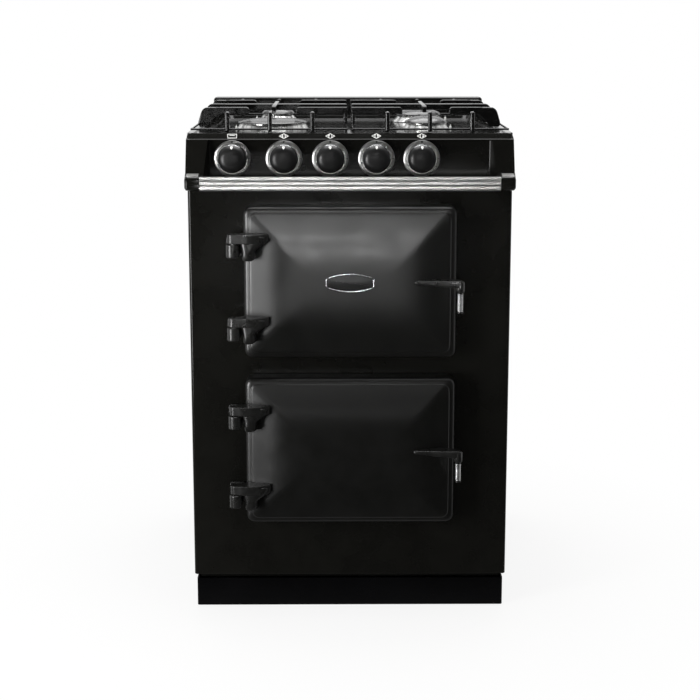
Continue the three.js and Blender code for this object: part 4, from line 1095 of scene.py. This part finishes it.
def addHobPlate():
    low, high = measured("hob_plate")
    plate = addBlock("hob_top", low, (high[0], high[1], hob["rim"]), 2, 2, 2)
    roundEdges(plate, lambda a, b: min(a.z, b.z) > 911 * mm and near(a.x, b.x) and abs(a.x) > 297 * mm,
               hob["corner"], 6)
    wide, start, end, floor, slope = [hob["well" + key] for key in ("Half", "Near", "Far", "Floor", "Slope")]
    well = addBlock("well", (-wide, start, floor), (wide, end, 920), 2, hob["wellCorner"], 8)
    openFacing(well, '-Z')
    half = (end - start) / 2
    scale(((wide - slope) / wide, (half - slope) / half, 1), at(0, start + half, floor))
    closeMesh()
    cutOut(plate, well)
    for burner in burners.values():
        bore(plate, hob["throat"], -20, 20, at(burner["across"], burner["back"], floor), 'Z', 40)
    upstand = addBlock("upstand", (-hob["upstandHalf"], hob["upstandNear"], hob["upstandRoot"]),
                       (hob["upstandHalf"], hob["upstandFar"], high[2]), 1, 7, 5)
    parts = [soften(plate, 1.8, 3, 20), soften(upstand, 4, 4)]
    fit(gather("hob_top", parts), "body", "sheet_enamel", hobEnamel, "hob_plate")


# The dome is (share of the cap's radius, share of the crown's drop).
burnerLook = {
    "slotWide": 1.7, "slotsPerCap": 0.45, "throat": 20, "throatFoot": 886, "capThick": 9, "rim": 2.5,
    "rise": 5, "lift": {"front_left": 4.5}, "pegOut": 5, "pegRadius": 2.1, "pegTall": 10.5,
    "dome": [(0.95, 0.86), (0.88, 0.68), (0.78, 0.48), (0.65, 0.31), (0.5, 0.17), (0.35, 0.08), (0.18, 0.02),
             (0, 0)],
}


def addBurner(name):
    look, burner = burnerLook, burners[name]
    cap, base, across, back = burner["cap"], burner["base"], burner["across"], burner["back"]
    middle = at(across, back, 0)
    under = burner["top"] - look["capThick"] + look["lift"].get(name, 0)
    throat, foot, seat, crest = look["throat"], look["throatFoot"], hob["wellFloor"] + 0.3, under - 0.3
    profile = [(0, foot), (throat, foot), (throat, seat), (base - 0.8, seat), (base, seat + 0.6),
               (base - 0.3, seat + 1.4), (cap - 2.9, crest - 2.3), (cap - 3.4, crest - 1.4),
               (cap - 5, crest - 1.1), (cap - 5, crest), (0, crest)]
    skirt = addTurned("burner_ring_" + name, profile, middle, 'Z', 72)
    slots, half = max(16, round(cap * look["slotsPerCap"])), look["slotWide"] / 2
    slot = addBlock("slot", (across + cap - 10, back - half, seat + 3.6),
                    (across + cap + 8, back + half, crest + 1))
    cutters = [turnedCopy(slot, "slot", 2 * pi * (count + 0.5) / slots, middle) for count in range(slots)]
    bpy.data.objects.remove(slot)
    cutOut(skirt, gather("slots", cutters))
    fit(smooth(skirt, 32), "body", "aluminium", burnerAluminium, "burner_base_" + name)
    top, rim = burner["top"] + look["rise"], look["rim"]
    profile = [(0, under), (cap - 2.4, under), (cap - 0.8, under + 0.3), (cap, under + 0.9),
               (cap - 0.1, under + 1.7), (cap - 0.9, under + rim)]
    profile += [(share * cap, top - drop * (top - under - rim)) for share, drop in look["dome"]]
    lid = addTurned("burner_lid_" + name, profile, middle, 'Z', 72)
    fit(smooth(lid, 50), "body", "cast_black", capBlack, "burner_cap_" + name)
    turn = radians(205 if across < 0 else -25)  # the spark pin stands on the side towards the cooker's end
    place = middle + Vector((cos(turn), sin(turn), 0)) * (base + look["pegOut"]) * mm
    radius, peak = look["pegRadius"], seat + look["pegTall"]
    profile = [(0, seat - 1), (radius + 0.9, seat - 1), (radius + 0.9, seat + 1.4), (radius, seat + 2),
               (radius, peak - 1), (radius - 0.5, peak - 0.3), (0.75, peak), (0.75, peak + 2.2),
               (0, peak + 2.6)]
    fit(smooth(addTurned("spark_pin_" + name, profile, place, 'Z', 20), 40), "body", "plastic", markWhite)


# Pan supports: round-topped bars across the burners, posts at the front and rear, legs, and a low rod frame.
support = {
    "top": 950, "bar": 8, "deep": 13, "round": 3.3, "posts": (69, 147, 225), "crossings": (161, 292, 434),
    "near": 16, "postDeep": 14, "far": 494, "farDeep": 8, "postTop": 949.4, "outer": 280, "legRoot": 24,
    "inner": 4, "burnerAcross": 147, "gap": 45, "tip": 6, "foot": 912.3,
    "rod": (915.6, 919.2), "rodHalf": 292.6,
    "leg": [(-34, 950), (-8, 950), (-4.5, 949.4), (-1, 947.8), (2, 945.2), (4.2, 941.5), (6, 936.5),
            (8.2, 929), (10, 923), (10.4, 920), (10, 916.5), (9, 912.3), (-11, 912.3), (-13, 917),
            (-17, 922.5), (-22, 927.5), (-28, 933), (-34, 937)],
}


def addGridBar(low, high, tips):  # a bar with its top edges rounded, and turned down at the given ends
    bar = addBlock("bar", low, high)
    top, along = high[2] * mm, 0 if high[0] - low[0] > high[1] - low[1] else 1
    if tips:
        ends = [at(*tip)[along] for tip in tips]
        roundEdges(bar, lambda a, b: near(a.z, top) and near(b.z, top) and near(a[along], b[along])
                   and min(abs(a[along] - end) for end in ends) < 0.1 * mm, support["tip"])
    return soften(bar, support["round"], 4, 20)


def addPanSupport(side):
    look, foot = support, support["foot"]
    half, top, under, inner = look["bar"] / 2, look["top"], look["top"] - look["deep"], look["inner"]
    start, end, outer = look["near"], look["far"], look["outer"] - look["legRoot"]
    parts = []

    def span(x0, x1, y0, y1, z0, z1, tips=()):  # tips are the ends (across, back) that are turned down
        left, right = sorted((side * x0, side * x1))
        parts.append(addGridBar((left, y0, z0), (right, y1, z1), [(side * x, y, z1) for x, y in tips]))

    firstRow, midRow, lastRow = look["crossings"]
    across, gap = look["burnerAcross"], look["gap"]
    ends = firstRow + gap, lastRow - gap
    span(across - half, across + half, *ends, under, top, [(across, end) for end in ends])
    for x in look["posts"]:
        span(x - half, x + half, start, start + look["postDeep"], foot, look["postTop"])
        span(x - half, x + half, end - look["farDeep"], end, foot, look["postTop"])
    for y in look["crossings"]:
        if y == midRow:
            span(inner, outer, y - half, y + half, under, top)
        else:
            span(inner, across - gap, y - half, y + half, under, top, [(across - gap, y)])
            span(across + gap, outer, y - half, y + half, under, top, [(across + gap, y)])
        span(inner, inner + 7, y - half + 0.4, y + half - 0.4, foot, top - 1)
        outline = [at(side * (look["outer"] + out), y - half - 0.2, z) for out, z in look["leg"]]
        parts.append(soften(addSlab("leg", outline, (0, look["bar"] + 0.4, 0)), 2.6, 4, 28))
    rodLow, rodHigh = look["rod"]
    edge, thick = look["rodHalf"], rodHigh - rodLow
    start, end = look["near"] + 5, look["far"] - 6
    for x0, x1, y0, y1 in ((inner, edge, start, start + thick), (inner, edge, end, end + thick),
                           (edge - thick, edge, start, end + thick),
                           (inner, inner + thick, start, end + thick)):
        left, right = sorted((side * x0, side * x1))
        parts.append(soften(addBlock("rod", (left, y0, rodLow), (right, y1, rodHigh)), 1.3, 3, 20))
    name = "left" if side < 0 else "right"
    fit(gather("pan_grid_" + name, parts), "grid_" + name, "cast_enamel", gridEnamel, "pan_support_" + name)


addHobPlate()
for name in burners:
    addBurner(name)
addPanSupport(-1)
addPanSupport(1)
print("hob made")


# Ovens: an enamelled box behind each mouth, runners, a wire shelf, the grill, and the fan behind its baffle.
ovenLook = {
    "plate": 3, "flangeCorner": 24, "wallInset": 11, "mouthInset": 14, "wall": 3, "softEdge": 0.9,
    "runnerFrom": 32.3, "runnerTo": 362.3, "runnerWide": 8, "runnerThick": 3, "upperRunner": 75,
    "frameWire": 5, "rodWire": 3.2, "frameCorner": 14, "rods": 11, "braces": (110, 285),
    "grillWire": 6.8, "grillCorner": 16, "grillHeight": 744, "grillSpread": (48, 138),
    "grillReach": (70, 330.3), "grillTail": (372.3, 429.3), "grillLead": 14,
    "baffleBack": (372.3, 374.3), "fanHole": 52, "fanHeight": 323.5, "slotAcross": 150, "slotWide": 18,
    "guardRings": (16, 28, 40, 52), "guardWire": 2.4,
}


def addOvenBox(name):
    look, inside, outside = ovenLook, *ovenInside[name]
    low, high = measured(name + "_oven_box")
    corner = (high[0], low[1] + look["plate"], high[2])
    box = addBlock(name + "_cavity", low, corner, 1, look["flangeCorner"], 6)
    for axis, edge, wall in (('Y', look["wallInset"], look["plate"]),
                             ('-Y', look["mouthInset"], look["wall"])):
        openFacing(box, axis)
        inset(edge)
        pull((0, high[1] - low[1] - wall, 0))
    closeMesh()
    parts = [soften(box, look["softEdge"], 2)]
    shelf, thick = measured(name + "_oven_shelf")[0][2] - 0.3, look["runnerThick"]
    for top in (shelf, shelf + look["upperRunner"] + thick):
        for side in (-1, 1):
            left, right = sorted((side * (outside[0] + 0.5), side * (outside[0] - look["runnerWide"])))
            start, end = look["runnerFrom"], look["runnerTo"]
            parts.append(soften(addBlock("runner", (left, start, top - thick), (right, end, top)), 1.2))
    if name == "lower":
        start, end = look["baffleBack"]
        baffle = addBlock("baffle", (inside[0] + 0.2, start, inside[2] + 0.2),
                          (outside[0] - 0.2, end, outside[2] - 0.2), 1, 9)
        bore(baffle, look["fanHole"], -5, 5, at(0, start, look["fanHeight"]), 'Y', 64)
        half = look["slotWide"] / 2
        for across in (-look["slotAcross"], look["slotAcross"]):
            cutOut(baffle, addBlock("slot", (across - half, 360, inside[2] + 20),
                                    (across + half, 385, outside[2] - 20), 1, half * 0.95, 5))
        parts.append(soften(baffle, 0.5, 2))
    fit(gather(name + "_cavity", parts), "body", "sheet_enamel", ovenEnamel, name + "_oven_box")


def addFanGuard():  # rings and two crossed rods over the hole in the baffle
    middle, wire = at(0, ovenLook["baffleBack"][0] - 1, ovenLook["fanHeight"]), ovenLook["guardWire"]
    parts = []
    for radius in ovenLook["guardRings"]:
        dropSelection()
        bpy.ops.mesh.primitive_torus_add(location=middle, rotation=(pi / 2, 0, 0), major_radius=radius * mm,
                                         minor_radius=wire / 2 * mm, major_segments=56, minor_segments=10)
        parts.append(smooth(settle("guard ring"), 80))
    rod = addWire("guard rod", [middle + Vector((x, -1, 0)) * mm for x in (-radius, radius)], wire)
    parts += [turnedCopy(rod, "guard rod", angle, middle, 'Y') for angle in (pi / 4, -pi / 4)]
    bpy.data.objects.remove(rod)
    fit(gather("fan_guard", parts), "body", "chrome", chrome)


def addShelf(name):
    look, (low, high) = ovenLook, measured(name + "_oven_shelf")
    half, thin = look["frameWire"] / 2, look["rodWire"]
    left, start, right, end, up = low[0] + half, low[1] + half, high[0] - half, high[1] - half, low[2] + half
    corners = [at(x, y, up) for x, y in ((left, start), (right, start), (right, end), (left, end))]
    parts = [addWire("shelf frame", corners, look["frameWire"], look["frameCorner"], closed=True)]
    pitch = (high[0] - low[0]) / (look["rods"] + 1)
    rod = addWire("rod", [at(low[0] + pitch, y, up + 0.9) for y in (low[1] + 1.5, high[1] - 1.5)], thin)
    parts += [copyOf(rod, "rod", (count * pitch * mm, 0, 0)) for count in range(1, look["rods"])] + [rod]
    for back in look["braces"]:
        parts.append(addWire("brace", [at(x, back, up - 0.8) for x in (low[0] + 1.5, high[0] - 1.5)], thin))
    fit(gather(name + "_wire_shelf", parts), "body", "chrome", chrome, name + "_oven_shelf")


def addGrill():
    look = ovenLook
    (close, wide), (start, end), (bend, tail) = look["grillSpread"], look["grillReach"], look["grillTail"]
    lead = look["grillLead"]
    half = [(lead, tail), (lead, bend), (wide, bend), (wide, start), (close, start), (close, end)]
    path = [(-x, y) for x, y in half] + half[::-1]
    wire = addWire("grill_rod", [at(x, y, look["grillHeight"]) for x, y in path], look["grillWire"],
                   look["grillCorner"])
    fit(wire, "body", "steel", elementSteel, "grill_element")


for name in ("upper", "lower"):
    addOvenBox(name)
    addShelf(name)
addFanGuard()
addGrill()
for node, finish in (("ring_element", elementSteel), ("fan_wheel", sheetSteel), ("fan_motor", sheetSteel),
                     ("oven_switch", hardPlastic), ("gas_manifold", brass)):
    keep(node, finish)
for knob in knobs[1:]:
    keep("valve_plug_" + knob, brass)
print("ovens made")


# Studio: a pale floor, white surroundings, a soft box, two strips and a top light. All its sizes are metres,
# and a lamp is its place, what it aims at, its size, its power and its spread in degrees.
studio = {
    "floorReach": 1.6, "floorColour": (0.80, 0.80, 0.79), "floorGlow": 0.86, "shadowReach": (0.42, 0.95),
    "floorFade": (-0.45, 0.1), "whiteFade": (-0.35, 0.25), "ambient": 0.45, "darkSide": 0.03,
    "lamps": {
        "left box": ((-1.65, -1.55, 0.6), (-0.1, -0.3, 0.45), (0.6, 1.2), 20, 120),
        "high strip": ((-0.1, -2.25, 1.4), (0, -0.32, 0.7), (1.7, 0.25), 0.23, 9),
        "low strip": ((-0.1, -2.3, 0.78), (0, -0.32, 0.66), (1.7, 0.3), 0.3, 11),
        "top light": ((0, 0.15, 2.3), (0, 0, 0.9), (1.5, 2.0), 50, 180),
    },
}


def addFloor():  # white to the camera away from the cooker, and dark towards the front in a mirror
    dropSelection()
    bpy.ops.mesh.primitive_circle_add(vertices=96, radius=studio["floorReach"], fill_type='NGON',
                                      location=(0, 0, -0.2 * mm))
    floor = settle("floor")
    paint = {"Base Color": (*studio["floorColour"], 1), "Roughness": 0.9, "Specular IOR Level": 0.1}
    material, tree, place = startFinish("floor", paint)
    rays = addNode(tree, "LightPath", {}).outputs
    reach = addNode(tree, "VectorMath", {0: place}, operation='LENGTH').outputs["Value"]
    white = addRange(tree, reach, *studio["shadowReach"], studio["floorGlow"], 1)
    direct = addMath(tree, 'MAXIMUM', rays["Is Camera Ray"], rays["Is Transmission Ray"])
    share = addMath(tree, 'MAXIMUM', addMath(tree, 'MULTIPLY', direct, white), rays["Is Glossy Ray"])
    parts = addNode(tree, "SeparateXYZ", {"Vector": place}).outputs
    mirrored = addRange(tree, parts["Y"], *studio["floorFade"], studio["darkSide"], 1)
    strength = addNode(tree, "Mix", {"Factor": rays["Is Glossy Ray"], 2: 1, 3: mirrored}).outputs[0]
    glow = addNode(tree, "Emission", {"Strength": strength}).outputs["Emission"]
    shade = tree.nodes["Principled BSDF"].outputs["BSDF"]
    mix = addNode(tree, "MixShader", {"Fac": share, 1: shade, 2: glow})
    tree.links.new(mix.outputs["Shader"], tree.nodes["Material Output"].inputs["Surface"])
    floor.data.materials.append(material)


def addSurroundings():  # white behind the cooker and to the camera, darker where the camera stands
    world = bpy.data.worlds.new("studio")
    bpy.context.scene.world = world
    world.use_nodes = True
    tree = world.node_tree
    rays = addNode(tree, "LightPath", {}).outputs
    heading = addNode(tree, "TexCoord", {}).outputs["Generated"]
    parts = addNode(tree, "SeparateXYZ", {"Vector": heading}).outputs
    mirrored = addRange(tree, parts["Y"], *studio["whiteFade"], studio["darkSide"], 1)
    seen = addMath(tree, 'MAXIMUM', mirrored, rays["Is Camera Ray"])
    direct = addMath(tree, 'MAXIMUM', rays["Is Camera Ray"], rays["Is Transmission Ray"])
    share = addMath(tree, 'MAXIMUM', direct, rays["Is Glossy Ray"])
    back = tree.nodes["Background"].inputs
    back["Color"].default_value = (1, 1, 1, 1)
    strength = addNode(tree, "Mix", {"Factor": share, 2: studio["ambient"], 3: seen}).outputs[0]
    tree.links.new(strength, back["Strength"])


def addLamps():
    for name, (place, aim, size, power, spread) in studio["lamps"].items():
        dropSelection()
        bpy.ops.object.light_add(type='AREA', location=place)
        light = bpy.context.object
        light.name = name
        light.data.shape = 'RECTANGLE'
        light.data.size, light.data.size_y = size
        light.data.energy = power
        light.data.spread = radians(spread)
        light.rotation_euler = (Vector(aim) - Vector(place)).to_track_quat('-Z', 'Y').to_euler()


# The uprights stay nearly upright: the lens looks a little down and is shifted.
view = {
    "distance": 2.8, "across": -0.022, "height": 1.113, "tilt": 10.63, "shift": -0.06,
    "pixelsPerMetre": 546.5, "sensor": 36, "pictureWidth": 700,
}


def addCamera():
    place = Vector((view["across"], front - view["distance"], view["height"]))
    turn = atan2(view["across"], view["distance"])
    bpy.ops.object.camera_add(location=place, rotation=(radians(90 - view["tilt"]), 0, turn))
    camera = bpy.context.object
    camera.name = "camera"
    camera.data.sensor_width = view["sensor"]
    camera.data.lens = view["sensor"] * view["pixelsPerMetre"] * view["distance"] / view["pictureWidth"]
    camera.data.shift_y = view["shift"]
    camera.data.clip_end = 30
    bpy.context.scene.camera = camera


addFloor()
addSurroundings()
addLamps()
addCamera()
bpy.context.scene.view_settings.view_transform = 'Standard'
print("studio and camera set")

dropSelection()
